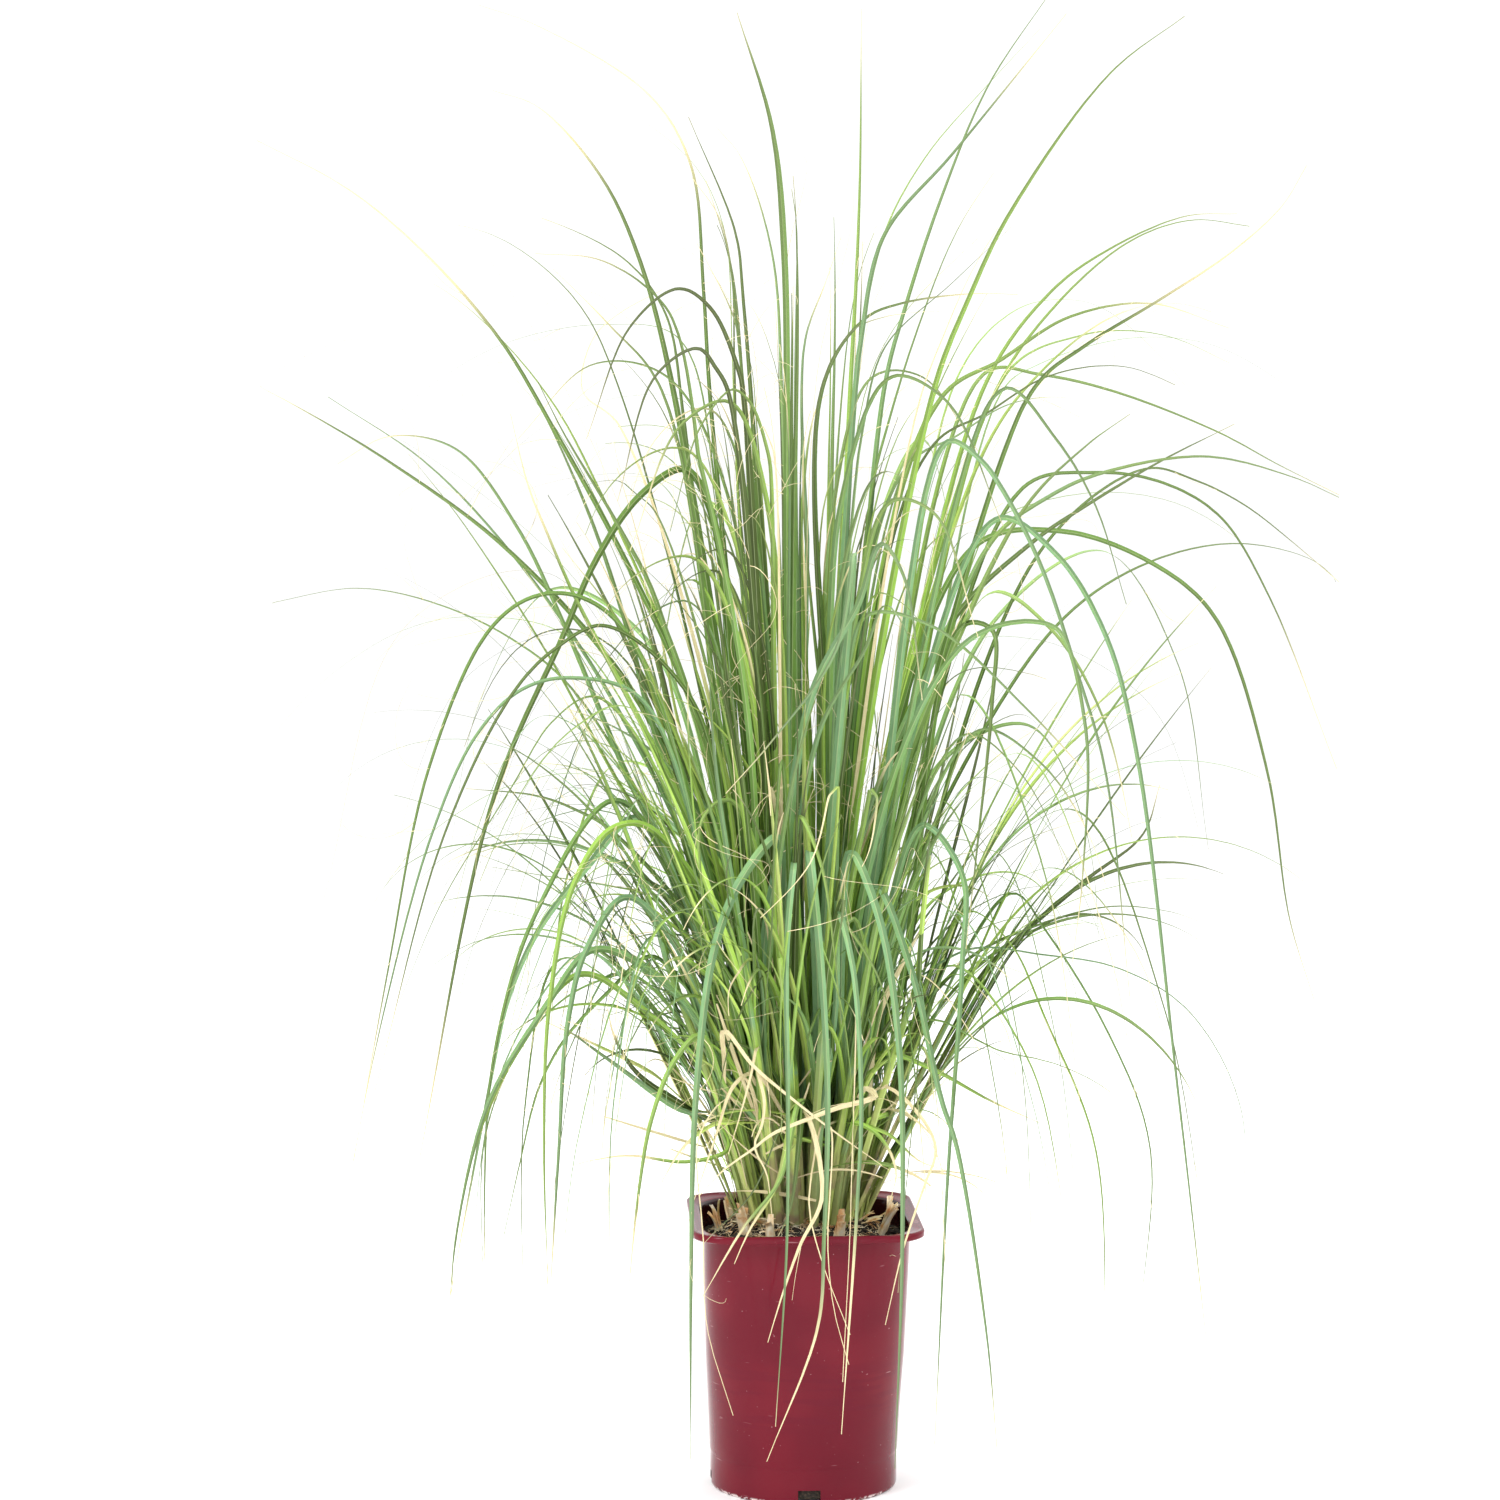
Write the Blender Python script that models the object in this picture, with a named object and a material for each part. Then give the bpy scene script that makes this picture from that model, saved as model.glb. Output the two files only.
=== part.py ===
"""Potted pampas grass: a square-rimmed nursery pot of compost with a crown of arching grass shoots.

Metres, +Z up. The origin is the middle of the pot's underside and the front faces -Y.
"""

import math

import bmesh
import bpy
import numpy as np
from mathutils import Matrix, Quaternion, Vector

MM = 0.001
GAP = 0.3 * MM
UP = Vector((0, 0, 1))

# Pot: half widths and corner radii in mm at heights in mm, where a corner as large as the half is round
POT_TURN = math.radians(3)
POT_WALL = 1.5
POT_FLOOR = 2.0
POT_HEIGHT = 222
POT_BODY = (
    (76.0, 76.0, 2.5),
    (76.0, 76.0, 28),
    (76.8, 76.8, 31),
    (78.2, 73.0, 64),
    (80.8, 62.0, 114),
    (82.8, 50.0, 184),
    (83.6, 45.0, 212),
)
FOOT_HALF = 74.8
RIM_HALF = 93.0
RIM_CORNER = 31.0
RIM_LIP = 5.5
CORNER_STEPS = 8
SLOT_WIDTH = 18 * MM
SLOT_HEIGHT = 12 * MM
SLOT_DEPTH = 20 * MM

# Compost
SOIL_TOP = 205
SOIL_EDGE = 200
SOIL_REACH = 77

# The crown: how deep it is for its width, and how far behind the pot's middle it stands
CROWN_DEPTH = 0.66
CROWN_BACK = 24 * MM

# Blades are traced as they are seen from an eye in front of the plant. Their routes give mm across from
# the pot's middle and mm up from the ground on the upright plane that the eye sees square on.
EYE = Vector((-0.0435, -3.56, 0.95))
AIM = Vector((-0.0435, 0, 0.6))
ROUTE_STEP = 6 * MM

# Tillers: upright, flattened, and divided at the top into cells, with a width factor at shares of the rise
STEM_RISE = 95 * MM
STEM_LEAN = 0.28
STEM_BOW = 2 * MM
STEM_WIDTH = 8.5 * MM
STEM_LEVELS = ((0, 1.12), (0.45, 1), (1, 0.8))
CELL_THICKNESS = 2.8 * MM

# A blade: how it tapers, how deep its keel is for its width, how it twists, and how finely it is divided
TAPER_START = 0.3
TAPER_POWER = 0.8
TIP_WIDTH = 0.9 * MM
KEEL = 0.24
TWIST = math.radians(55)
TWIST_END = 0.62
TURN_LENGTH = 200 * MM
TURN_RATE = 0.06
LENGTH_STEP = 260 * MM
BEND_STEP = math.radians(26)

# Its way in depth: a bend of one radian counts as this much length, and the power shapes the rise
TURN_REACH = 60 * MM
DRIFT_POWER = 1.7

# The fan of a shoot's blades: points of a path at which it is told from its neighbours, and its spread
FAN_PICK = 5
LEAN_PICK = 9
FAN_OPEN = 12
FAN_CLEAR = 3.9 * MM
FAN_RISE = 45 * MM
FAN_END = 360 * MM
FAN_SPREAD = 2.0

# Room between blades, and the sways and swings that are tried, the smallest first
CLEAR = 1.5 * MM
TURNED_HALF = 0.42
FAR = 20 * MM
SWAY_END = 0.5
SWING_END = 0.62
SWAYS = sorted(
    ((sway * 6 * MM, swing * 6 * MM) for sway in range(-20, 21) for swing in range(-4, 5)),
    key=lambda pair: abs(pair[0]) + 3 * abs(pair[1]),
)

# Shoots: distance from the middle in mm and direction in degrees from the right, the back being 90.
# Their blades: width in mm, how far the tip lies behind the pot's middle in mm, and the route.
SHOOTS = {
    "shoot_right_outer": (56, 0, (
        (6, -30, (70, 350), (130, 430), (185, 458), (245, 474), (294, 470), (318, 462)),
        (5, -70, (60, 370), (131, 438), (194, 435), (254, 424), (310, 389), (352, 307), (345, 178)),
        (8, 30, (75, 310), (115, 375), (143, 423), (222, 493), (272, 532), (286, 572)),
    )),
    "shoot_right_low": (56, 340, (
        (6, -80, (75, 340), (131, 470), (165, 445), (194, 383), (234, 280), (243, 102)),
        (6, -50, (80, 340), (165, 485), (194, 453), (245, 371), (278, 280), (268, 127)),
        (6, -20, (75, 420), (135, 576), (163, 572), (195, 540), (222, 489), (260, 393)),
    )),
    "shoot_right_far": (56, 20, (
        (7, 110, (50, 480), (135, 762), (205, 776), (280, 750), (330, 707), (372, 584),
         (390, 465), (410, 399)),
        (5, 150, (75, 480), (175, 810), (234, 823), (288, 815), (334, 788), (374, 723), (428, 585)),
        (5, 190, (90, 480), (190, 760), (274, 826), (314, 817), (354, 797), (394, 766), (430, 735)),
    )),
    "shoot_right_back": (56, 40, (
        (6, 220, (80, 500), (159, 888), (189, 910), (262, 931), (330, 925), (394, 888), (430, 855)),
        (5, 280, (80, 480), (151, 627), (214, 711), (280, 752), (348, 766), (408, 753), (430, 735)),
        (6, 260, (70, 500), (163, 903), (222, 933), (262, 937), (298, 931), (342, 911)),
    )),
    "shoot_back_right": (56, 60, (
        (6, 320, (60, 500), (123, 899), (171, 954), (213, 962), (242, 954), (288, 915), (310, 888)),
        (7, 400, (70, 480), (150, 700), (240, 760), (300, 670), (325, 520)),
        (6, 380, (60, 440), (110, 590), (180, 620), (225, 540), (240, 400)),
    )),
    "shoot_back": (56, 80, (
        (8, 420, (30, 480), (60, 780), (95, 850), (120, 760), (130, 590)),
        (7, 380, (20, 440), (30, 640), (45, 700), (60, 600), (70, 430)),
        (7, 300, (20, 520), (41, 888), (64, 1013), (98, 1077), (147, 1134), (190, 1180)),
    )),
    "shoot_back_mid": (56, 100, (
        (8, 430, (-20, 480), (-50, 760), (-80, 800), (-110, 700), (-120, 540)),
        (7, 350, (-10, 440), (-25, 620), (-40, 660), (-55, 560), (-60, 420)),
        (7, 280, (-15, 520), (-18, 888), (-26, 1001), (-51, 1077), (-71, 1101)),
    )),
    "shoot_back_left": (56, 120, (
        (5, 300, (-50, 520), (-70, 800), (-101, 931), (-160, 942), (-240, 927), (-307, 888), (-345, 850)),
        (7, 400, (-60, 460), (-120, 680), (-200, 730), (-260, 640), (-290, 480)),
        (6, 360, (-50, 440), (-90, 560), (-150, 590), (-190, 500), (-205, 360)),
    )),
    "shoot_left_back": (56, 140, (
        (5, 220, (-80, 480), (-184, 687), (-264, 707), (-323, 696), (-387, 655), (-425, 615)),
        (5, 180, (-85, 460), (-184, 646), (-238, 691), (-303, 720), (-361, 730), (-430, 718)),
        (6, 200, (-60, 520), (-148, 888), (-184, 962), (-244, 1011), (-299, 1024), (-330, 1018)),
        (7, 60, (-85, 350), (-101, 399), (-124, 433), (-156, 488)),
    )),
    "shoot_left_far": (56, 160, (
        (7, 100, (-70, 480), (-130, 634), (-234, 757), (-334, 832), (-413, 879), (-440, 893)),
        (5, 140, (-80, 480), (-154, 640), (-228, 749), (-303, 830), (-383, 884)),
        (6, 120, (-80, 440), (-150, 598), (-194, 703), (-230, 778), (-280, 842), (-334, 852), (-375, 830)),
        (6, 90, (-75, 430), (-154, 534), (-184, 552), (-214, 563), (-272, 569)),
    )),
    "shoot_left_outer": (56, 180, (
        (8, 20, (-80, 440), (-156, 584), (-204, 673), (-274, 782), (-318, 838)),
        (8, -10, (-75, 330), (-100, 480), (-134, 546), (-174, 506), (-214, 454), (-238, 399),
         (-254, 323), (-285, 158)),
        (6, 50, (-85, 310), (-110, 337), (-146, 356), (-206, 383)),
        (5, 10, (-80, 410), (-124, 481), (-154, 490), (-204, 498), (-252, 506)),
    )),
    "shoot_left_low": (56, 200, (
        (7, -60, (-80, 400), (-110, 540), (-174, 580), (-234, 572), (-274, 552), (-314, 520), (-370, 441)),
        (7, -90, (-75, 400), (-118, 580), (-168, 643), (-202, 623), (-235, 570), (-290, 480), (-326, 396)),
        (6, -70, (-75, 320), (-101, 363), (-135, 410), (-172, 438), (-210, 401), (-250, 320), (-270, 158)),
        (6, -40, (-72, 340), (-134, 418), (-164, 414), (-194, 398), (-226, 363), (-256, 290), (-258, 162)),
    )),
    "shoot_left_fall": (56, 220, (
        (8, -150, (-58, 350), (-60, 376), (-38, 347), (-10, 322), (22, 296), (63, 266)),
        (7, -120, (-70, 460), (-140, 690), (-180, 723), (-218, 723), (-254, 695), (-302, 584),
         (-335, 420), (-362, 270)),
        (6, -150, (-70, 440), (-130, 640), (-188, 658), (-228, 648), (-264, 611), (-300, 530),
         (-340, 380), (-366, 252)),
        (7, -110, (-72, 350), (-100, 440), (-142, 482), (-174, 441), (-190, 380), (-197, 280), (-205, 148)),
    )),
    "shoot_front_left": (56, 240, (
        (7, -110, (-42, 340), (-56, 330), (-70, 290), (-88, 238)),
        (9, -170, (-35, 440), (-22, 530), (-50, 497), (-72, 440), (-87, 320), (-91, 160), (-91, 30)),
        (6, -150, (-60, 330), (-80, 372), (-101, 352), (-121, 304), (-133, 240), (-142, 157)),
        (6, -190, (-60, 500), (-90, 640), (-160, 700), (-198, 683), (-234, 646), (-290, 530), (-345, 326)),
    )),
    "shoot_front_1": (56, 260, (
        (8, -130, (0, 310), (15, 242), (-3, 202), (-18, 160), (-29, 124)),
        (6, -220, (-16, 430), (-8, 510), (-14, 440), (-13, 320), (-14, 200), (-23, 56)),
        (5, -160, (-12, 480), (-18, 593), (-24, 518), (-26, 456), (-34, 369)),
    )),
    "shoot_front_2": (56, 280, (
        (10, -200, (10, 430), (4, 520), (13, 436), (19, 320), (16, 208), (11, 136), (-30, 28)),
        (6, -250, (25, 400), (27, 470), (39, 426), (46, 320), (43, 240), (30, 50)),
        (6, -180, (-4, 460), (-4, 548), (14, 507), (24, 440), (30, 380)),
    )),
    "shoot_front_3": (56, 300, (
        (6, -130, (60, 330), (88, 310), (104, 280), (95, 250), (79, 200), (65, 138)),
        (8, -190, (32, 430), (38, 518), (60, 466), (76, 365), (79, 208), (73, 22)),
        (6, -150, (40, 400), (27, 465), (50, 436), (64, 406), (72, 374)),
    )),
    "shoot_front_right": (56, 320, (
        (7, -180, (50, 430), (60, 490), (86, 424), (110, 320), (123, 280), (147, 128), (155, 39)),
        (6, -140, (60, 420), (95, 540), (127, 500), (127, 427), (115, 250), (105, 42)),
        (7, -120, (80, 440), (127, 700), (151, 697), (151, 638), (140, 530), (130, 440)),
    )),
    "shoot_mid_right": (37, 15, (
        (7, 70, (50, 500), (115, 697), (181, 765), (234, 801), (290, 834), (346, 862)),
        (6, -20, (40, 500), (115, 696), (155, 773), (194, 802), (234, 821), (322, 836),
         (394, 819), (430, 803)),
        (8, 20, (60, 500), (171, 785), (226, 844), (262, 870)),
    )),
    "shoot_mid_right_back": (37, 48, (
        (6, 140, (60, 520), (143, 888), (198, 968), (246, 1003), (306, 1029), (348, 1031)),
        (5, 180, (50, 520), (150, 880), (200, 955), (262, 1009), (312, 1026), (358, 1021)),
        (5, 160, (55, 520), (145, 903), (189, 902), (250, 888), (334, 855), (380, 830), (430, 805)),
    )),
    "shoot_mid_back": (37, 82, (
        (6, 200, (20, 500), (37, 888), (42, 980), (45, 1065), (46, 1196)),
        (6, 240, (15, 500), (-2, 888), (2, 935), (17, 975), (30, 1013)),
        (6, 160, (30, 500), (64, 888), (82, 958), (110, 1043), (148, 1134), (200, 1212)),
    )),
    "shoot_mid_back_left": (37, 115, (
        (6, 150, (-40, 520), (-76, 888), (-81, 971), (-91, 1070), (-124, 1126), (-214, 1182), (-262, 1199)),
        (6, 220, (-30, 500), (-49, 888), (-59, 991), (-79, 1058)),
        (5, 190, (-55, 520), (-148, 860), (-178, 888), (-170, 930), (-150, 950), (-114, 970)),
    )),
    "shoot_mid_left_back": (37, 148, (
        (8, 90, (-50, 520), (-105, 888), (-134, 999), (-164, 1062), (-214, 1117), (-250, 1130)),
        (7, 60, (-60, 500), (-114, 598), (-142, 697), (-168, 777), (-202, 856), (-224, 896)),
        (6, 110, (-60, 520), (-114, 888), (-158, 943), (-202, 987)),
    )),
    "shoot_mid_left": (37, 180, (
        (6, 10, (-70, 560), (-218, 888), (-264, 955), (-326, 1019), (-373, 1055), (-440, 1090)),
        (7, -30, (-70, 500), (-118, 717), (-148, 778), (-194, 856), (-214, 896)),
        (7, 40, (-58, 480), (-150, 701), (-188, 774), (-206, 805)),
    )),
    "shoot_mid_left_front": (37, 213, (
        (6, -130, (-44, 400), (-92, 500), (-130, 540), (-156, 536), (-186, 490), (-205, 393), (-209, 280),
         (-206, 170)),
        (6, -90, (-60, 520), (-101, 934), (-120, 966), (-164, 994), (-216, 999)),
        (7, -110, (-60, 560), (-80, 790), (-101, 826), (-134, 805), (-166, 757), (-194, 691),
         (-250, 560), (-313, 252)),
    )),
    "shoot_mid_front_left": (37, 246, (
        (7, -200, (-30, 560), (-49, 888), (-53, 906), (-75, 955), (-101, 971), (-140, 940), (-175, 850)),
        (7, -240, (-30, 560), (-61, 888), (-71, 907), (-85, 923), (-120, 900), (-150, 800)),
        (6, -150, (-26, 430), (-62, 560), (-82, 544), (-82, 487), (-79, 446)),
    )),
    "shoot_mid_front": (37, 280, (
        (7, -125, (-3, 320), (-20, 255), (-50, 215), (-82, 160)),
        (8, -260, (-20, 460), (0, 640), (44, 721), (62, 766), (80, 740), (95, 640)),
        (7, -230, (20, 520), (40, 760), (26, 681), (-26, 607), (-63, 565)),
    )),
    "shoot_mid_front_right": (37, 312, (
        (7, -180, (60, 520), (115, 848), (141, 834), (159, 810), (190, 749), (218, 667),
         (242, 584), (262, 400)),
        (7, -150, (60, 500), (155, 786), (202, 758), (242, 693), (267, 599), (300, 330), (328, 84)),
        (8, -200, (60, 460), (150, 690), (200, 700), (226, 620), (224, 500), (216, 429)),
    )),
    "shoot_mid_right_front": (37, 343, (
        (6, -60, (60, 520), (161, 891), (201, 852), (234, 797), (259, 717)),
        (7, -40, (40, 520), (104, 888), (132, 962), (165, 1031), (246, 1144), (306, 1190)),
        (6, -90, (60, 520), (183, 888), (226, 925), (286, 962), (342, 999), (384, 1037), (404, 1070)),
    )),
    "shoot_centre_right": (17, 20, (
        (6, 100, (26, 500), (14, 888), (48, 946), (78, 959), (138, 967), (172, 966)),
        (6, -60, (42, 500), (108, 880), (159, 914), (213, 948), (278, 959), (342, 939)),
        (6, -100, (20, 520), (41, 888), (46, 931), (64, 1013), (120, 1080), (211, 1192)),
    )),
    "shoot_centre_back": (17, 92, (
        (5, 90, (-4, 500), (-7, 888), (-6, 971), (-6, 1021), (-10, 1051)),
        (6, 140, (16, 520), (24, 800), (55, 900), (95, 900), (140, 840)),
    )),
    "shoot_centre_left": (17, 164, (
        (6, 30, (-20, 520), (-43, 888), (-49, 962), (-55, 1015), (-93, 1109)),
        (5, 60, (-30, 520), (-60, 800), (-110, 900), (-170, 910), (-230, 850)),
        (5, -20, (-20, 520), (-53, 931), (-67, 1025), (-90, 1060)),
    )),
    "shoot_centre_front_left": (17, 236, (
        (5, -60, (-13, 400), (-14, 760), (-16, 1000), (-26, 1101), (-54, 1193)),
        (6, -170, (-15, 500), (-30, 800), (-60, 880), (-100, 860), (-140, 760)),
    )),
    "shoot_centre_front_right": (17, 308, (
        (6, -120, (20, 500), (30, 800), (70, 900), (115, 880), (160, 780)),
        (6, -220, (20, 460), (40, 700), (70, 800), (105, 790), (140, 690)),
    )),
}

# Cut stubs of old shoots: distance and direction as above, lean in degrees, length and width in mm
STUBS = {
    "stub_left": (69, 189, 20, 24, 9),
    "stub_left_front": (72, 230, 24, 30, 10),
    "stub_front_left": (78, 250, 18, 20, 8),
    "stub_front_right": (78, 291, 22, 26, 9),
    "stub_right_front": (72, 331, 26, 32, 10),
    "stub_right": (66, 350, 28, 28, 9),
    "stub_back": (70, 90, 18, 30, 10),
    "stub_back_left": (66, 150, 22, 24, 9),
}


def material(name, colour, roughness):
    """A Principled material in one colour."""
    made = bpy.data.materials.new(name)
    made.use_nodes = True
    shader = made.node_tree.nodes["Principled BSDF"]
    shader.inputs["Base Color"].default_value = (*colour, 1)
    shader.inputs["Roughness"].default_value = roughness
    shader.inputs["Metallic"].default_value = 0
    return made


def named_object(name, mesh, made):
    """An object of this mesh with its faces turned outward."""
    bmesh.ops.recalc_face_normals(mesh, faces=mesh.faces)
    data = bpy.data.meshes.new(name)
    mesh.to_mesh(data)
    mesh.free()
    data.materials.append(made)
    data.shade_smooth()
    data.set_sharp_from_angle(angle=math.radians(35))
    thing = bpy.data.objects.new(name, data)
    bpy.context.scene.collection.objects.link(thing)
    return thing


def ring(mesh, half, corner, height):
    """One level of a rounded square, or of a circle where the corner is as large as the half."""
    points = []
    for quarter in range(4):
        side = (half - corner) * math.sqrt(2)
        middle = math.radians(45 + 90 * quarter)
        for step in range(CORNER_STEPS):
            angle = math.radians(90 * (quarter + (step + 0.5) / CORNER_STEPS))
            across = side * math.cos(middle) + corner * math.cos(angle)
            along = side * math.sin(middle) + corner * math.sin(angle)
            points.append(mesh.verts.new((across * MM, along * MM, height * MM)))
    return points


def loft(mesh, levels):
    """Faces between each ring of a list and the next."""
    for lower, upper in zip(levels, levels[1:]):
        for index in range(len(lower)):
            after = (index + 1) % len(lower)
            mesh.faces.new((lower[index], lower[after], upper[after], upper[index]))


def pot():
    """The pot: up the outside, over the flared rim and down the inside to the floor."""
    mesh = bmesh.new()
    outer = [(FOOT_HALF, FOOT_HALF, 0), *POT_BODY]
    top_half, top_corner, top = POT_BODY[-1]
    lip = [
        (RIM_HALF - 1, RIM_CORNER, POT_HEIGHT - RIM_LIP - 0.6),
        (RIM_HALF, RIM_CORNER, POT_HEIGHT - RIM_LIP + 0.6),
        (RIM_HALF, RIM_CORNER, POT_HEIGHT - 0.9),
        (RIM_HALF - 0.9, RIM_CORNER, POT_HEIGHT),
        (RIM_HALF - 2.2, RIM_CORNER, POT_HEIGHT),
        (top_half - POT_WALL + 0.6, top_corner, top + 1.2),
    ]
    inner = [(half - POT_WALL, corner - POT_WALL, up) for half, corner, up in reversed(POT_BODY)]
    half, corner, _ = inner[-1]
    inner[-1] = (half, corner, POT_FLOOR + 1)
    inner.append((half - 1, corner - 1, POT_FLOOR))
    levels = [ring(mesh, *level) for level in outer + lip + inner]
    loft(mesh, levels)
    mesh.faces.new(levels[0])
    mesh.faces.new(levels[-1])
    body = named_object("pot", mesh, material("burgundy plastic", (0.20, 0.012, 0.022), 0.22))
    for quarter in range(4):
        cutter = slot_cutter(quarter)
        cut = body.modifiers.new(f"slot {quarter}", "BOOLEAN")
        cut.operation = "DIFFERENCE"
        cut.solver = "EXACT"
        cut.object = cutter
        cutter.parent = body
    body.rotation_euler.z = POT_TURN


def slot_cutter(quarter):
    """A block that cuts one drain slot through the foot of the wall and the edge of the floor."""
    mesh = bmesh.new()
    bmesh.ops.create_cube(mesh, size=1)
    cutter = named_object(f"slot_cutter_{quarter}", mesh, material("cutter", (1, 1, 1), 0.5))
    angle = math.radians(90 * quarter)
    reach = FOOT_HALF * MM
    cutter.scale = (2 * SLOT_DEPTH, SLOT_WIDTH, 2 * SLOT_HEIGHT)
    cutter.location = (reach * math.cos(angle), reach * math.sin(angle), 0)
    cutter.rotation_euler.z = angle
    cutter.hide_render = True
    cutter.display_type = "WIRE"
    return cutter


def soil():
    """The compost, just clear of the wall and the floor, level under the crown and lower at the wall."""
    mesh = bmesh.new()
    clear = POT_WALL + GAP / MM
    walls = [(half - clear, corner - clear, up) for half, corner, up in POT_BODY if up < SOIL_EDGE]
    half, corner, _ = walls[0]
    walls[0] = (half - 1, corner - 1, POT_FLOOR + GAP / MM)
    half, corner, _ = walls[-1]
    walls.append((half + 0.6, corner - 3, SOIL_EDGE))
    walls.append((SOIL_REACH, SOIL_REACH, SOIL_TOP))
    levels = [ring(mesh, *level) for level in walls]
    loft(mesh, levels)
    mesh.faces.new(levels[0])
    mesh.faces.new(levels[-1])
    body = named_object("soil", mesh, material("compost", (0.022, 0.014, 0.010), 0.95))
    body.rotation_euler.z = POT_TURN


def polar(distance, degrees):
    """A point on the level, from its distance to the middle in mm and its direction."""
    angle = math.radians(degrees)
    return Vector((math.cos(angle), math.sin(angle), 0)) * distance * MM


def crown_place(distance, degrees):
    """A place in the crown on the compost, from its distance to the crown's middle and its direction."""
    place = polar(distance, degrees)
    return Vector((place.x, place.y * CROWN_DEPTH + CROWN_BACK, SOIL_TOP * MM + GAP))


def stub(name, distance, degrees, lean, length, width):
    """A cut, flattened old shoot that leans outward, with a slanted top."""
    mesh = bmesh.new()
    bmesh.ops.create_cone(
        mesh, cap_ends=True, segments=8, radius1=width * MM / 2, radius2=width * MM * 0.36, depth=length * MM
    )
    outward = polar(1, degrees).normalized()
    for vertex in mesh.verts:
        high = vertex.co.z > 0
        vertex.co.z += length * MM / 2
        vertex.co.y *= 0.55
        if high:
            vertex.co.z += vertex.co.x * 0.7
        vertex.co.x += math.tan(math.radians(lean)) * vertex.co.z
    turn = Matrix.Rotation(math.atan2(outward.y, outward.x), 4, "Z")
    bmesh.ops.transform(mesh, matrix=turn, verts=mesh.verts)
    thing = named_object(name, mesh, material("straw", (0.42, 0.27, 0.13), 0.8))
    thing.location = crown_place(distance, degrees)


def seen(across, up, depth):
    """The points at these depths behind the pot's middle that the eye sees at places on its plane."""
    forward = (AIM - EYE).normalized()
    side = forward.cross(UP).normalized()
    rise = side.cross(forward)
    rays = np.array(AIM - EYE) + np.outer(across * MM - AIM.x, side) + np.outer(up * MM - AIM.z, rise)
    return np.array(EYE) + rays * ((depth - EYE.y) / rays[:, 1])[:, None]


def as_seen(point):
    """Where on its square-on plane the eye sees a point, in mm across and up."""
    forward = (AIM - EYE).normalized()
    side = forward.cross(UP).normalized()
    rise = side.cross(forward)
    ray = point - EYE
    place = EYE + ray * ((AIM - EYE).length / ray.dot(forward)) - AIM
    return (place.dot(side) + AIM.x) / MM, (place.dot(rise) + AIM.z) / MM


def taper(share):
    """How wide a blade still is at a share of its length."""
    return (1 - max(0, share - TAPER_START) / (1 - TAPER_START)) ** TAPER_POWER


def lengths_along(points):
    """How far along a line of points each one lies."""
    return np.concatenate([[0], np.cumsum(np.linalg.norm(np.diff(points, axis=0), axis=1))])


def spaced(points, step):
    """Evenly spaced points along a line of points."""
    lengths = lengths_along(points)
    count = max(6, int(lengths[-1] / step))
    places = np.linspace(0, lengths[-1], count + 1)
    return np.column_stack([np.interp(places, lengths, points[:, axis]) for axis in range(points.shape[1])])


def smooth_curve(points, step):
    """Evenly spaced points of a centripetal Catmull-Rom curve through these points."""
    points = np.array(points, dtype=float)
    ends = [points[0] * 2 - points[1], *points, points[-1] * 2 - points[-2]]
    t = np.linspace(0, 1, 16, endpoint=False)[:, None]
    fine = []
    for before, start, end, after in zip(ends, ends[1:], ends[2:], ends[3:]):
        spans = (start - before, end - start, after - end)
        reach = [np.linalg.norm(span) ** 0.5 for span in spans]
        leaving = end - start + reach[1] * (
            (start - before) / reach[0] - (end - before) / (reach[0] + reach[1])
        )
        arriving = end - start + reach[1] * (
            (after - end) / reach[2] - (after - start) / (reach[1] + reach[2])
        )
        fine.append(
            (2 * t ** 3 - 3 * t ** 2 + 1) * start + (t ** 3 - 2 * t ** 2 + t) * leaving
            + (3 * t ** 2 - 2 * t ** 3) * end + (t ** 3 - t ** 2) * arriving
        )
    return spaced(np.vstack([*fine, points[-1:]]), step)


def smoothstep(value):
    """A ramp from 0 to 1 that starts and ends gently."""
    value = np.clip(value, 0, 1)
    return value * value * (3 - 2 * value)


def drift(share, top):
    """The share of its way in depth that a blade has gone: fast over its top, slow before and after."""
    at_top = max(0.5, top)
    rising = at_top * (share / top) ** DRIFT_POWER
    fallen = np.clip((share - top) / max(1 - top, 0.01), 0, 1)
    return np.where(share <= top, rising, at_top + (1 - at_top) * (1 - (1 - fallen) ** DRIFT_POWER))


def route_path(start, tip_depth, route, sway=0.0, swing=0.0):
    """The route in space from a start to its tip, where a sway moves it farther and a swing sideways."""
    flat = smooth_curve([as_seen(start), *route], ROUTE_STEP / MM)
    steps = np.diff(flat, axis=0)
    headings = np.unwrap(np.arctan2(steps[:, 1], steps[:, 0]))
    turning = np.abs(np.diff(headings, prepend=headings[0]))
    effort = np.cumsum(np.linalg.norm(steps, axis=1) + TURN_REACH / MM * turning)
    share = np.concatenate([[0], effort / effort[-1]])
    top = share[flat[:, 1].argmax()]
    depth = start.y + (tip_depth * MM - start.y) * drift(share, top) + sway * smoothstep(share / SWAY_END)
    bow = swing / MM * np.sin(math.pi * np.minimum(share / SWING_END, 1))
    return spaced(seen(flat[:, 0] + bow, flat[:, 1], depth), ROUTE_STEP)


def stations(path):
    """Which points of a path carry a section: evenly shared out over its length and its bending."""
    steps = np.diff(path, axis=0)
    directions = steps / np.linalg.norm(steps, axis=1)[:, None]
    bends = np.arccos(np.clip((directions[:-1] * directions[1:]).sum(1), -1, 1))
    effort = np.concatenate([[0], np.cumsum(ROUTE_STEP / LENGTH_STEP + np.append(bends, 0) / BEND_STEP)])
    count = max(4, round(effort[-1]))
    picks = np.searchsorted(effort, np.linspace(0, effort[-1], count + 1)[1:-1])
    later = {int(pick) for pick in picks if pick > FAN_PICK + 2}
    return [0, FAN_PICK, *sorted(later), len(path) - 1]


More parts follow.
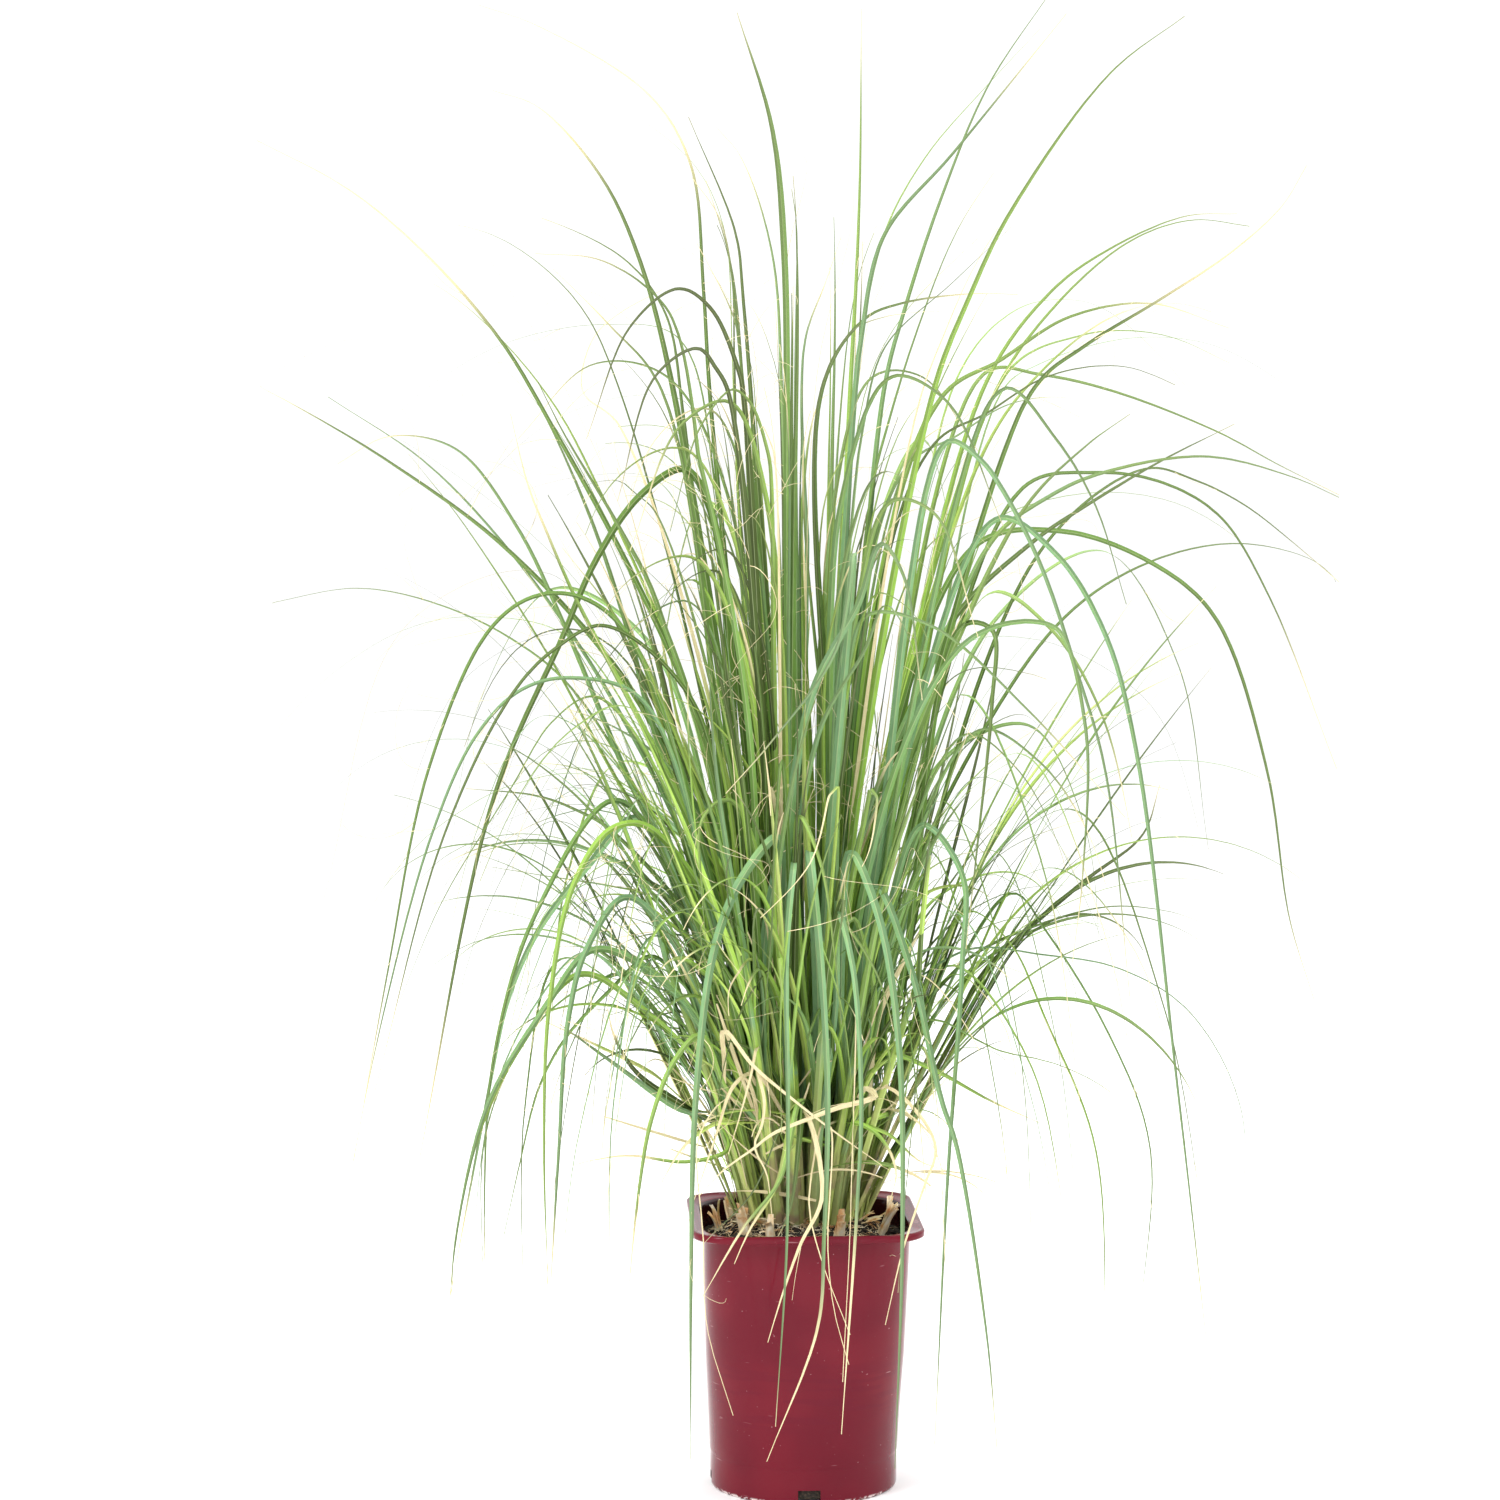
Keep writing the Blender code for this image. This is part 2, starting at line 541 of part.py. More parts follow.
class Shoot:
    """A flattened tiller whose top is divided into cells, one for each blade that leaves it."""

    def __init__(self, distance, degrees, blades):
        self.root = crown_place(distance, degrees)
        self.outward = polar(1, degrees).normalized()
        self.side = UP.cross(self.outward)
        self.top = self.root + UP * STEM_RISE + self.outward * distance * MM * STEM_LEAN
        self.blades = sorted(blades, key=self.lean)

    def lean(self, blade):
        """How far outward a blade leans over its first stretch."""
        width, tip_depth, *route = blade
        path = route_path(self.top, tip_depth, route)
        return float((path[min(LEAN_PICK, len(path) - 1)] - path[0]).dot(self.outward))

    def offset(self, index):
        """How far outward from the tiller's middle one cell of the top lies."""
        return (index + 0.5 - len(self.blades) / 2) * CELL_THICKNESS

    def path(self, index, sway, swing):
        """One blade's path. It starts in its cell and fans out from its neighbours as it leaves."""
        width, tip_depth, *route = self.blades[index]
        path = route_path(self.top + self.outward * self.offset(index), tip_depth, route, sway, swing)
        lengths = lengths_along(path)
        fanned = smoothstep(lengths / FAN_RISE) * (1 - smoothstep(lengths / FAN_END))
        return path + np.outer(fanned * self.offset(index) * FAN_SPREAD, self.outward)

    def stem_rings(self, mesh):
        """Rows of points across the tiller at its foot, its middle and its top."""
        rows = []
        for share, widening in STEM_LEVELS:
            middle = self.root.lerp(self.top, share)
            middle -= self.outward * math.sin(math.pi * share) * STEM_BOW
            for_side = self.side * STEM_WIDTH * widening / 2
            row = []
            for edge in range(len(self.blades) + 1):
                offset = (edge - len(self.blades) / 2) * CELL_THICKNESS
                place = middle + self.outward * offset
                row.append((mesh.verts.new(place - for_side), mesh.verts.new(place + for_side)))
            rows.append(row)
        return rows

    def build(self, name, made):
        """The tiller and the blades that grow out of its top."""
        mesh = bmesh.new()
        rows = self.stem_rings(mesh)
        cells = range(len(self.blades))
        for cell in cells:
            (left, right), (next_left, next_right) = rows[0][cell], rows[0][cell + 1]
            mesh.faces.new((left, next_left, next_right, right))
        for lower, upper in zip(rows, rows[1:]):
            for cell in cells:
                for hand in (0, 1):
                    mesh.faces.new((
                        lower[cell][hand], lower[cell + 1][hand], upper[cell + 1][hand], upper[cell][hand]
                    ))
            for edge in (0, -1):
                mesh.faces.new((lower[edge][0], lower[edge][1], upper[edge][1], upper[edge][0]))
        for cell in cells:
            self.blade(mesh, rows[-1][cell], rows[-1][cell + 1], self.blades[cell], self.paths[cell])
        named_object(name, mesh, made)

    def frames(self, path, blade):
        """The directions across a blade and out of its upper face at each point of its path."""
        heading = Vector(path[-1] - path[0])
        heading.z = 0
        heading.normalize()
        target = UP.cross(heading)
        hand = 1 if target.dot(self.side) >= 0 else -1
        target *= hand
        twist = TWIST * math.sin(self.root.x * 900 + blade[1] * 0.7)
        across = self.side
        found = []
        for index, place in enumerate(path):
            tangent = Vector(path[min(index + 1, len(path) - 1)] - path[max(index - 1, 0)]).normalized()
            turned = smoothstep((index - FAN_PICK) * ROUTE_STEP / TURN_LENGTH)
            across = across.lerp(target, turned * TURN_RATE)
            across = (across - tangent * across.dot(tangent)).normalized()
            share = max(0, index - FAN_PICK) / (len(path) - 1)
            twisted = Quaternion(tangent, twist * smoothstep(share / TWIST_END)) @ across
            found.append((twisted, tangent.cross(twisted) * hand))
        return found, heading.dot(self.outward) >= 0

    def blade(self, mesh, inner, outer, blade, path):
        """A keeled blade, flat above and ridged below, from one cell of the top to its tip."""
        found, keel_out = self.frames(path, blade)
        upper, lower = (inner, outer) if keel_out else (outer, inner)
        last = None
        for pick in stations(path)[1:]:
            share = pick / (len(path) - 1)
            wide = max(blade[0] * MM * taper(share), TIP_WIDTH)
            across, face = found[pick]
            place = Vector(path[pick])
            ridge = max(wide * KEEL, TIP_WIDTH * 0.6)
            current = (
                mesh.verts.new(place - across * wide / 2),
                mesh.verts.new(place + across * wide / 2),
                mesh.verts.new(place - face * ridge),
            )
            if last is None:
                middle = sum((corner.co for corner in upper + lower), Vector()) / 8 + place / 2
                fold(mesh, upper[0], upper[1], current[1], current[0], middle)
                fold(mesh, upper[1], lower[1], current[2], current[1], middle)
                mesh.faces.new((lower[1], lower[0], current[2]))
                fold(mesh, lower[0], upper[0], current[0], current[2], middle)
            else:
                middle = sum((corner.co for corner in last + current), Vector()) / 6
                for index in range(3):
                    after = (index + 1) % 3
                    fold(mesh, last[index], last[after], current[after], current[index], middle)
            last = current
        mesh.faces.new(last)


def fold(mesh, first, second, third, fourth, middle):
    """A twisted side as two triangles, folded along the diagonal that lies farther out from a middle."""
    if ((first.co + third.co) / 2 - middle).length >= ((second.co + fourth.co) / 2 - middle).length:
        mesh.faces.new((first, second, third))
        mesh.faces.new((first, third, fourth))
    else:
        mesh.faces.new((second, third, fourth))
        mesh.faces.new((second, fourth, first))


def settle(shoots):
    """Lay out every blade in turn, swaying it nearer or farther until it clears those already placed."""
    stems = []
    for shoot in shoots.values():
        stem = np.linspace(shoot.root, shoot.top, 13)
        stems.append((shoot, stem))
    placed = []
    for shoot in shoots.values():
        shoot.paths = []
        for index, (width, *_) in enumerate(shoot.blades):
            for sway, swing in SWAYS:
                path = shoot.path(index, sway, swing)
                laid = spaced(path[stations(path)], ROUTE_STEP)
                if is_clear(laid, width * MM, shoot, stems, placed):
                    break
            else:
                print("no clear way for blade", index, "of the shoot at", shoot.root)
            shoot.paths.append(path)
            placed.append((shoot, laid, width * MM))


def is_clear(path, width, shoot, stems, placed):
    """Whether a blade's path keeps its distance from the other tillers and the blades laid so far."""
    for other, stem in stems:
        if other is shoot:
            continue
        if nearest(path, stem) < (STEM_WIDTH + width) * TURNED_HALF + CLEAR:
            return False
    for other, laid, laid_width in placed:
        apart = (width + laid_width) * TURNED_HALF + CLEAR
        if other is not shoot:
            if nearest(path, laid) < apart:
                return False
        elif nearest(path[FAN_PICK:FAN_OPEN], laid[FAN_PICK:FAN_OPEN]) < FAN_CLEAR:
            return False
        elif nearest(path[FAN_OPEN:], laid[FAN_OPEN:]) < apart:
            return False
    return True


def nearest(first, second):
    """The least distance between the points of two paths."""
    if (first.min(0) > second.max(0) + FAR).any() or (second.min(0) > first.max(0) + FAR).any():
        return 1.0
    apart = first[:, None, :] - second[None, :, :]
    return math.sqrt((apart ** 2).sum(2).min())


def main():
    for thing in list(bpy.data.objects):
        bpy.data.objects.remove(thing, do_unlink=True)
    pot()
    soil()
    for name, measures in STUBS.items():
        stub(name, *measures)
    shoots = {name: Shoot(*described) for name, described in SHOOTS.items()}
    settle(shoots)
    green = material("grass", (0.13, 0.24, 0.07), 0.5)
    for name, shoot in shoots.items():
        shoot.build(name, green)


main()
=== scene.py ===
"""Potted pampas grass in a soft white studio.

Metres, +Z up. The origin is the middle of the pot's underside and the front faces -Y.
"""

import math
import random

import bmesh
import bpy
import numpy as np
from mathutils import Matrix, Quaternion, Vector, noise


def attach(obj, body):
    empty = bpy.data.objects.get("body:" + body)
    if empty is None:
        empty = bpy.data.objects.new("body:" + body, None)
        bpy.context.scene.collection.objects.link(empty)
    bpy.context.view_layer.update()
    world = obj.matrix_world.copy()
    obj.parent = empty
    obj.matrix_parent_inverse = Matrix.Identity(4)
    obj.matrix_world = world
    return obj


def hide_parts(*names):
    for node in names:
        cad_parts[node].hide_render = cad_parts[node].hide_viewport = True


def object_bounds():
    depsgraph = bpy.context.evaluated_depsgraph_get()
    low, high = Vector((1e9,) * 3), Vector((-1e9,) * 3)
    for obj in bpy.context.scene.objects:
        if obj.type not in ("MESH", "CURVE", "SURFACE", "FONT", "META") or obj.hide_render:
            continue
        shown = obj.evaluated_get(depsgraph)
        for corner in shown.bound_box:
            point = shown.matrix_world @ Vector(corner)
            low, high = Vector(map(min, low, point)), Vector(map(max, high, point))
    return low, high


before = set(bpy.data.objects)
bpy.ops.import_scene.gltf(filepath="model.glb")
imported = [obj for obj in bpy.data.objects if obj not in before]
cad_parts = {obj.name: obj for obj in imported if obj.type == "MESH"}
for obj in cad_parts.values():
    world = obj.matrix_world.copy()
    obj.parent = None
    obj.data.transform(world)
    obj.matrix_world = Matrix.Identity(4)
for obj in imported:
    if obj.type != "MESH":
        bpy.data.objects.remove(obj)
cad_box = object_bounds()

MM = 0.001
GAP = 0.3 * MM
UP = Vector((0, 0, 1))

# Pot: half widths and corner radii in mm at heights in mm, where a corner as large as the half is round
POT_TURN = math.radians(3)
POT_WALL = 1.5
POT_FLOOR = 2.0
POT_BODY = (
    (76.8, 76.8, 31),
    (78.2, 73.0, 64),
    (80.8, 62.0, 114),
    (82.8, 50.0, 184),
    (83.6, 45.0, 212),
)
POT_FOOT = (
    (73.8, 73.8, 0),
    (74.8, 74.8, 0.35),
    (75.6, 75.6, 1.2),
    (76.0, 76.0, 2.8),
    (76.0, 76.0, 15),
    (76.0, 76.0, 27.4),
    (76.2, 76.2, 28.3),
    (76.5, 76.5, 29.6),
)
POT_RIM = (
    (84.0, 44.4, 213.8),
    (85.4, 42.5, 215.0),
    (88.0, 38.0, 215.5),
    (91.2, 32.5, 215.7),
    (92.4, 31.4, 216.1),
    (93.0, 31.0, 217.2),
    (93.0, 31.0, 220.0),
    (92.8, 31.0, 221.0),
    (92.1, 31.0, 221.8),
    (91.2, 31.0, 222.0),
    (90.4, 31.3, 221.8),
    (89.6, 32.0, 221.0),
    (88.6, 33.4, 220.5),
    (85.6, 38.5, 220.0),
    (83.8, 41.5, 219.5),
    (82.7, 43.3, 218.2),
    (82.2, 44.0, 215.5),
)
FOOT_HALF = 74.8
CORNER_STEPS = 24
SLOT_WIDTH = 18 * MM
SLOT_HEIGHT = 12 * MM
SLOT_DEPTH = 20 * MM

# Compost: how high its middle and its edge stand, in mm
SOIL_TOP = 205
SOIL_EDGE = 200

# The crown: how deep it is for its width, and how far behind the pot's middle it stands
CROWN_DEPTH = 0.66
CROWN_BACK = 24 * MM

# The compost rises under the crown: half the width of the rise, and its height, both in mm
CROWN_HALF = 66
CROWN_RISE = 9

# Blades are traced as they are seen from an eye in front of the plant. Their routes give mm across from
# the pot's middle and mm up from the ground on the upright plane that the eye sees square on.
EYE = Vector((-0.0435, -3.56, 0.95))
AIM = Vector((-0.0435, 0, 0.6))
LENS_PIXELS = 4450
FRAME_PIXELS = 1500
ROUTE_STEP = 6 * MM

# Tillers: upright, flattened, and divided at the top into cells
STEM_RISE = 95 * MM
STEM_LEAN = 0.28
STEM_BOW = 2 * MM
STEM_WIDTH = 8.5 * MM
CELL_THICKNESS = 2.8 * MM

# As they are dressed: how near to the crown's middle their feet stand, and how wide their sheaths are
FOOT_DRAW = 0.84
SHEATH_WIDTH = 7.0 * MM
STEM_ROWS = 16

# A blade: how it tapers and how it twists
TAPER_POWER = 0.75
TWIST = math.radians(40)
TWIST_END = 0.62
TURN_LENGTH = 200 * MM
TURN_RATE = 0.06

# Its way in depth: a bend of one radian counts as this much length, and the power shapes the rise
TURN_REACH = 60 * MM
DRIFT_POWER = 1.7

# The fan of a shoot's blades: points of a path at which it is told from its neighbours, and its spread
FAN_PICK = 5
LEAN_PICK = 9
FAN_OPEN = 12
FAN_CLEAR = 3.9 * MM
FAN_RISE = 45 * MM
FAN_END = 360 * MM
FAN_SPREAD = 2.0

# Room between blades, and the sways and swings that are tried, the smallest first
CLEAR = 1.5 * MM
TURNED_HALF = 0.42
FAR = 20 * MM
SWAY_END = 0.5
SWING_END = 0.62
LENGTH_STEP = 260 * MM
BEND_STEP = math.radians(26)
SWAYS = sorted(
    ((sway * 6 * MM, swing * 6 * MM) for sway in range(-20, 21) for swing in range(-4, 5)),
    key=lambda pair: abs(pair[0]) + 3 * abs(pair[1]),
)

# Sections of a blade, as shares of its half width across and of its thickness units up
BROAD_SECTION = (
    (-1, 0.34), (-0.5, 0.04), (0, -0.16), (0.5, 0.04), (1, 0.34), (0.5, 0.13), (0, 0.0), (-0.5, 0.13),
)
FINE_SECTION = ((-1, 0.3), (0, -0.2), (1, 0.3), (0, 0.0))
THREAD_SECTION = ((-1, 0), (0.5, -0.86), (0.5, 0.86))

# Shoots: distance from the middle in mm and direction in degrees from the right, the back being 90.
# Their blades: width in mm, how far the tip lies behind the pot's middle in mm, and the route.
SHOOTS = {
    "shoot_right_outer": (56, 0, (
        (6, -30, (70, 350), (130, 430), (185, 458), (245, 474), (294, 470), (318, 462)),
        (5, -70, (60, 370), (131, 438), (194, 435), (254, 424), (310, 389), (352, 307), (345, 178)),
        (8, 30, (75, 310), (115, 375), (143, 423), (222, 493), (272, 532), (286, 572)),
    )),
    "shoot_right_low": (56, 340, (
        (6, -80, (75, 340), (131, 470), (165, 445), (194, 383), (234, 280), (243, 102)),
        (6, -50, (80, 340), (165, 485), (194, 453), (245, 371), (278, 280), (268, 127)),
        (6, -20, (75, 420), (135, 576), (163, 572), (195, 540), (222, 489), (260, 393)),
    )),
    "shoot_right_far": (56, 20, (
        (7, 110, (50, 480), (135, 762), (205, 776), (280, 750), (330, 707), (372, 584),
         (390, 465), (410, 399)),
        (5, 150, (75, 480), (175, 810), (234, 823), (288, 815), (334, 788), (374, 723), (428, 585)),
        (5, 190, (90, 480), (190, 760), (274, 826), (314, 817), (354, 797), (394, 766), (430, 735)),
    )),
    "shoot_right_back": (56, 40, (
        (6, 220, (80, 500), (159, 888), (189, 910), (262, 931), (330, 925), (394, 888), (430, 855)),
        (5, 280, (80, 480), (151, 627), (214, 711), (280, 752), (348, 766), (408, 753), (430, 735)),
        (6, 260, (70, 500), (163, 903), (222, 933), (262, 937), (298, 931), (342, 911)),
    )),
    "shoot_back_right": (56, 60, (
        (6, 320, (60, 500), (123, 899), (171, 954), (213, 962), (242, 954), (288, 915), (310, 888)),
        (7, 400, (70, 480), (150, 700), (240, 760), (300, 670), (325, 520)),
        (6, 380, (60, 440), (110, 590), (180, 620), (225, 540), (240, 400)),
    )),
    "shoot_back": (56, 80, (
        (8, 420, (30, 480), (60, 780), (95, 850), (120, 760), (130, 590)),
        (7, 380, (20, 440), (30, 640), (45, 700), (60, 600), (70, 430)),
        (7, 300, (20, 520), (41, 888), (64, 1013), (98, 1077), (147, 1134), (190, 1180)),
    )),
    "shoot_back_mid": (56, 100, (
        (8, 430, (-20, 480), (-50, 760), (-80, 800), (-110, 700), (-120, 540)),
        (7, 350, (-10, 440), (-25, 620), (-40, 660), (-55, 560), (-60, 420)),
        (7, 280, (-15, 520), (-18, 888), (-26, 1001), (-51, 1077), (-71, 1101)),
    )),
    "shoot_back_left": (56, 120, (
        (5, 300, (-50, 520), (-70, 800), (-101, 931), (-160, 942), (-240, 927), (-307, 888), (-345, 850)),
        (7, 400, (-60, 460), (-120, 680), (-200, 730), (-260, 640), (-290, 480)),
        (6, 360, (-50, 440), (-90, 560), (-150, 590), (-190, 500), (-205, 360)),
    )),
    "shoot_left_back": (56, 140, (
        (5, 220, (-80, 480), (-184, 687), (-264, 707), (-323, 696), (-387, 655), (-425, 615)),
        (5, 180, (-85, 460), (-184, 646), (-238, 691), (-303, 720), (-361, 730), (-430, 718)),
        (6, 200, (-60, 520), (-148, 888), (-184, 962), (-244, 1011), (-299, 1024), (-330, 1018)),
        (7, 60, (-85, 350), (-101, 399), (-124, 433), (-156, 488)),
    )),
    "shoot_left_far": (56, 160, (
        (7, 100, (-70, 480), (-130, 634), (-234, 757), (-334, 832), (-413, 879), (-440, 893)),
        (5, 140, (-80, 480), (-154, 640), (-228, 749), (-303, 830), (-383, 884)),
        (6, 120, (-80, 440), (-150, 598), (-194, 703), (-230, 778), (-280, 842), (-334, 852), (-375, 830)),
        (6, 90, (-75, 430), (-154, 534), (-184, 552), (-214, 563), (-272, 569)),
    )),
    "shoot_left_outer": (56, 180, (
        (8, 20, (-80, 440), (-156, 584), (-204, 673), (-274, 782), (-318, 838)),
        (8, -10, (-75, 330), (-100, 480), (-134, 546), (-174, 506), (-214, 454), (-238, 399),
         (-254, 323), (-285, 158)),
        (6, 50, (-85, 310), (-110, 337), (-146, 356), (-206, 383)),
        (5, 10, (-80, 410), (-124, 481), (-154, 490), (-204, 498), (-252, 506)),
    )),
    "shoot_left_low": (56, 200, (
        (7, -60, (-80, 400), (-110, 540), (-174, 580), (-234, 572), (-274, 552), (-314, 520), (-370, 441)),
        (7, -90, (-75, 400), (-118, 580), (-168, 643), (-202, 623), (-235, 570), (-290, 480), (-326, 396)),
        (6, -70, (-75, 320), (-101, 363), (-135, 410), (-172, 438), (-210, 401), (-250, 320), (-270, 158)),
        (6, -40, (-72, 340), (-134, 418), (-164, 414), (-194, 398), (-226, 363), (-256, 290), (-258, 162)),
    )),
    "shoot_left_fall": (56, 220, (
        (8, -150, (-58, 350), (-60, 376), (-38, 347), (-10, 322), (22, 296), (63, 266)),
        (7, -120, (-70, 460), (-140, 690), (-180, 723), (-218, 723), (-254, 695), (-302, 584),
         (-335, 420), (-362, 270)),
        (6, -150, (-70, 440), (-130, 640), (-188, 658), (-228, 648), (-264, 611), (-300, 530),
         (-340, 380), (-366, 252)),
        (7, -110, (-72, 350), (-100, 440), (-142, 482), (-174, 441), (-190, 380), (-197, 280), (-205, 148)),
    )),
    "shoot_front_left": (56, 240, (
        (7, -110, (-42, 340), (-56, 330), (-70, 290), (-88, 238)),
        (9, -170, (-35, 440), (-22, 530), (-50, 497), (-72, 440), (-87, 320), (-91, 160), (-91, 30)),
        (6, -150, (-60, 330), (-80, 372), (-101, 352), (-121, 304), (-133, 240), (-142, 157)),
        (6, -190, (-60, 500), (-90, 640), (-160, 700), (-198, 683), (-234, 646), (-290, 530), (-345, 326)),
    )),
    "shoot_front_1": (56, 260, (
        (8, -130, (0, 310), (15, 242), (-3, 202), (-18, 160), (-29, 124)),
        (6, -220, (-16, 430), (-8, 510), (-14, 440), (-13, 320), (-14, 200), (-23, 56)),
        (5, -160, (-12, 480), (-18, 593), (-24, 518), (-26, 456), (-34, 369)),
    )),
    "shoot_front_2": (56, 280, (
        (10, -200, (10, 430), (4, 520), (13, 436), (19, 320), (16, 208), (11, 136), (-30, 28)),
        (6, -250, (25, 400), (27, 470), (39, 426), (46, 320), (43, 240), (30, 50)),
        (6, -180, (-4, 460), (-4, 548), (14, 507), (24, 440), (30, 380)),
    )),
    "shoot_front_3": (56, 300, (
        (6, -130, (60, 330), (88, 310), (104, 280), (95, 250), (79, 200), (65, 138)),
        (8, -190, (32, 430), (38, 518), (60, 466), (76, 365), (79, 208), (73, 22)),
        (6, -150, (40, 400), (27, 465), (50, 436), (64, 406), (72, 374)),
    )),
    "shoot_front_right": (56, 320, (
        (7, -180, (50, 430), (60, 490), (86, 424), (110, 320), (123, 280), (147, 128), (155, 39)),
        (6, -140, (60, 420), (95, 540), (127, 500), (127, 427), (115, 250), (105, 42)),
        (7, -120, (80, 440), (127, 700), (151, 697), (151, 638), (140, 530), (130, 440)),
    )),
    "shoot_mid_right": (37, 15, (
        (7, 70, (50, 500), (115, 697), (181, 765), (234, 801), (290, 834), (346, 862)),
        (6, -20, (40, 500), (115, 696), (155, 773), (194, 802), (234, 821), (322, 836),
         (394, 819), (430, 803)),
        (8, 20, (60, 500), (171, 785), (226, 844), (262, 870)),
    )),
    "shoot_mid_right_back": (37, 48, (
        (6, 140, (60, 520), (143, 888), (198, 968), (246, 1003), (306, 1029), (348, 1031)),
        (5, 180, (50, 520), (150, 880), (200, 955), (262, 1009), (312, 1026), (358, 1021)),
        (5, 160, (55, 520), (145, 903), (189, 902), (250, 888), (334, 855), (380, 830), (430, 805)),
    )),
    "shoot_mid_back": (37, 82, (
        (6, 200, (20, 500), (37, 888), (42, 980), (45, 1065), (46, 1196)),
        (6, 240, (15, 500), (-2, 888), (2, 935), (17, 975), (30, 1013)),
        (6, 160, (30, 500), (64, 888), (82, 958), (110, 1043), (148, 1134), (200, 1212)),
    )),
    "shoot_mid_back_left": (37, 115, (
        (6, 150, (-40, 520), (-76, 888), (-81, 971), (-91, 1070), (-124, 1126), (-214, 1182), (-262, 1199)),
        (6, 220, (-30, 500), (-49, 888), (-59, 991), (-79, 1058)),
        (5, 190, (-55, 520), (-148, 860), (-178, 888), (-170, 930), (-150, 950), (-114, 970)),
    )),
    "shoot_mid_left_back": (37, 148, (
        (8, 90, (-50, 520), (-105, 888), (-134, 999), (-164, 1062), (-214, 1117), (-250, 1130)),
        (7, 60, (-60, 500), (-114, 598), (-142, 697), (-168, 777), (-202, 856), (-224, 896)),
        (6, 110, (-60, 520), (-114, 888), (-158, 943), (-202, 987)),
    )),
    "shoot_mid_left": (37, 180, (
        (6, 10, (-70, 560), (-218, 888), (-264, 955), (-326, 1019), (-373, 1055), (-440, 1090)),
        (7, -30, (-70, 500), (-118, 717), (-148, 778), (-194, 856), (-214, 896)),
        (7, 40, (-58, 480), (-150, 701), (-188, 774), (-206, 805)),
    )),
    "shoot_mid_left_front": (37, 213, (
        (6, -130, (-44, 400), (-92, 500), (-130, 540), (-156, 536), (-186, 490), (-205, 393), (-209, 280),
         (-206, 170)),
        (6, -90, (-60, 520), (-101, 934), (-120, 966), (-164, 994), (-216, 999)),
        (7, -110, (-60, 560), (-80, 790), (-101, 826), (-134, 805), (-166, 757), (-194, 691),
         (-250, 560), (-313, 252)),
    )),
    "shoot_mid_front_left": (37, 246, (
        (7, -200, (-30, 560), (-49, 888), (-53, 906), (-75, 955), (-101, 971), (-140, 940), (-175, 850)),
        (7, -240, (-30, 560), (-61, 888), (-71, 907), (-85, 923), (-120, 900), (-150, 800)),
        (6, -150, (-26, 430), (-62, 560), (-82, 544), (-82, 487), (-79, 446)),
    )),
    "shoot_mid_front": (37, 280, (
        (7, -125, (-3, 320), (-20, 255), (-50, 215), (-82, 160)),
        (8, -260, (-20, 460), (0, 640), (44, 721), (62, 766), (80, 740), (95, 640)),
        (7, -230, (20, 520), (40, 760), (26, 681), (-26, 607), (-63, 565)),
    )),
    "shoot_mid_front_right": (37, 312, (
        (7, -180, (60, 520), (115, 848), (141, 834), (159, 810), (190, 749), (218, 667),
         (242, 584), (262, 400)),
        (7, -150, (60, 500), (155, 786), (202, 758), (242, 693), (267, 599), (300, 330), (328, 84)),
        (8, -200, (60, 460), (150, 690), (200, 700), (226, 620), (224, 500), (216, 429)),
    )),
    "shoot_mid_right_front": (37, 343, (
        (6, -60, (60, 520), (161, 891), (201, 852), (234, 797), (259, 717)),
        (7, -40, (40, 520), (104, 888), (132, 962), (165, 1031), (246, 1144), (306, 1190)),
        (6, -90, (60, 520), (183, 888), (226, 925), (286, 962), (342, 999), (384, 1037), (404, 1070)),
    )),
    "shoot_centre_right": (17, 20, (
        (6, 100, (26, 500), (14, 888), (48, 946), (78, 959), (138, 967), (172, 966)),
        (6, -60, (42, 500), (108, 880), (159, 914), (213, 948), (278, 959), (342, 939)),
        (6, -100, (20, 520), (41, 888), (46, 931), (64, 1013), (120, 1080), (211, 1192)),
    )),
    "shoot_centre_back": (17, 92, (
        (5, 90, (-4, 500), (-7, 888), (-6, 971), (-6, 1021), (-10, 1051)),
        (6, 140, (16, 520), (24, 800), (55, 900), (95, 900), (140, 840)),
    )),
    "shoot_centre_left": (17, 164, (
        (6, 30, (-20, 520), (-43, 888), (-49, 962), (-55, 1015), (-93, 1109)),
        (5, 60, (-30, 520), (-60, 800), (-110, 900), (-170, 910), (-230, 850)),
        (5, -20, (-20, 520), (-53, 931), (-67, 1025), (-90, 1060)),
    )),
    "shoot_centre_front_left": (17, 236, (
        (5, -60, (-13, 400), (-14, 760), (-16, 1000), (-26, 1101), (-54, 1193)),
        (6, -170, (-15, 500), (-30, 800), (-60, 880), (-100, 860), (-140, 760)),
    )),
    "shoot_centre_front_right": (17, 308, (
        (6, -120, (20, 500), (30, 800), (70, 900), (115, 880), (160, 780)),
        (6, -220, (20, 460), (40, 700), (70, 800), (105, 790), (140, 690)),
    )),
}

# Cut stubs of old shoots: distance and direction as above, lean in degrees, length and width in mm
STUBS = {
    "stub_left": (69, 189, 20, 24, 9),
    "stub_left_front": (72, 230, 24, 30, 10),
    "stub_front_left": (78, 250, 18, 20, 8),
    "stub_front_right": (78, 291, 22, 26, 9),
    "stub_right_front": (72, 331, 26, 32, 10),
    "stub_right": (66, 350, 28, 28, 9),
    "stub_back": (70, 90, 18, 30, 10),
    "stub_back_left": (66, 150, 22, 24, 9),
}

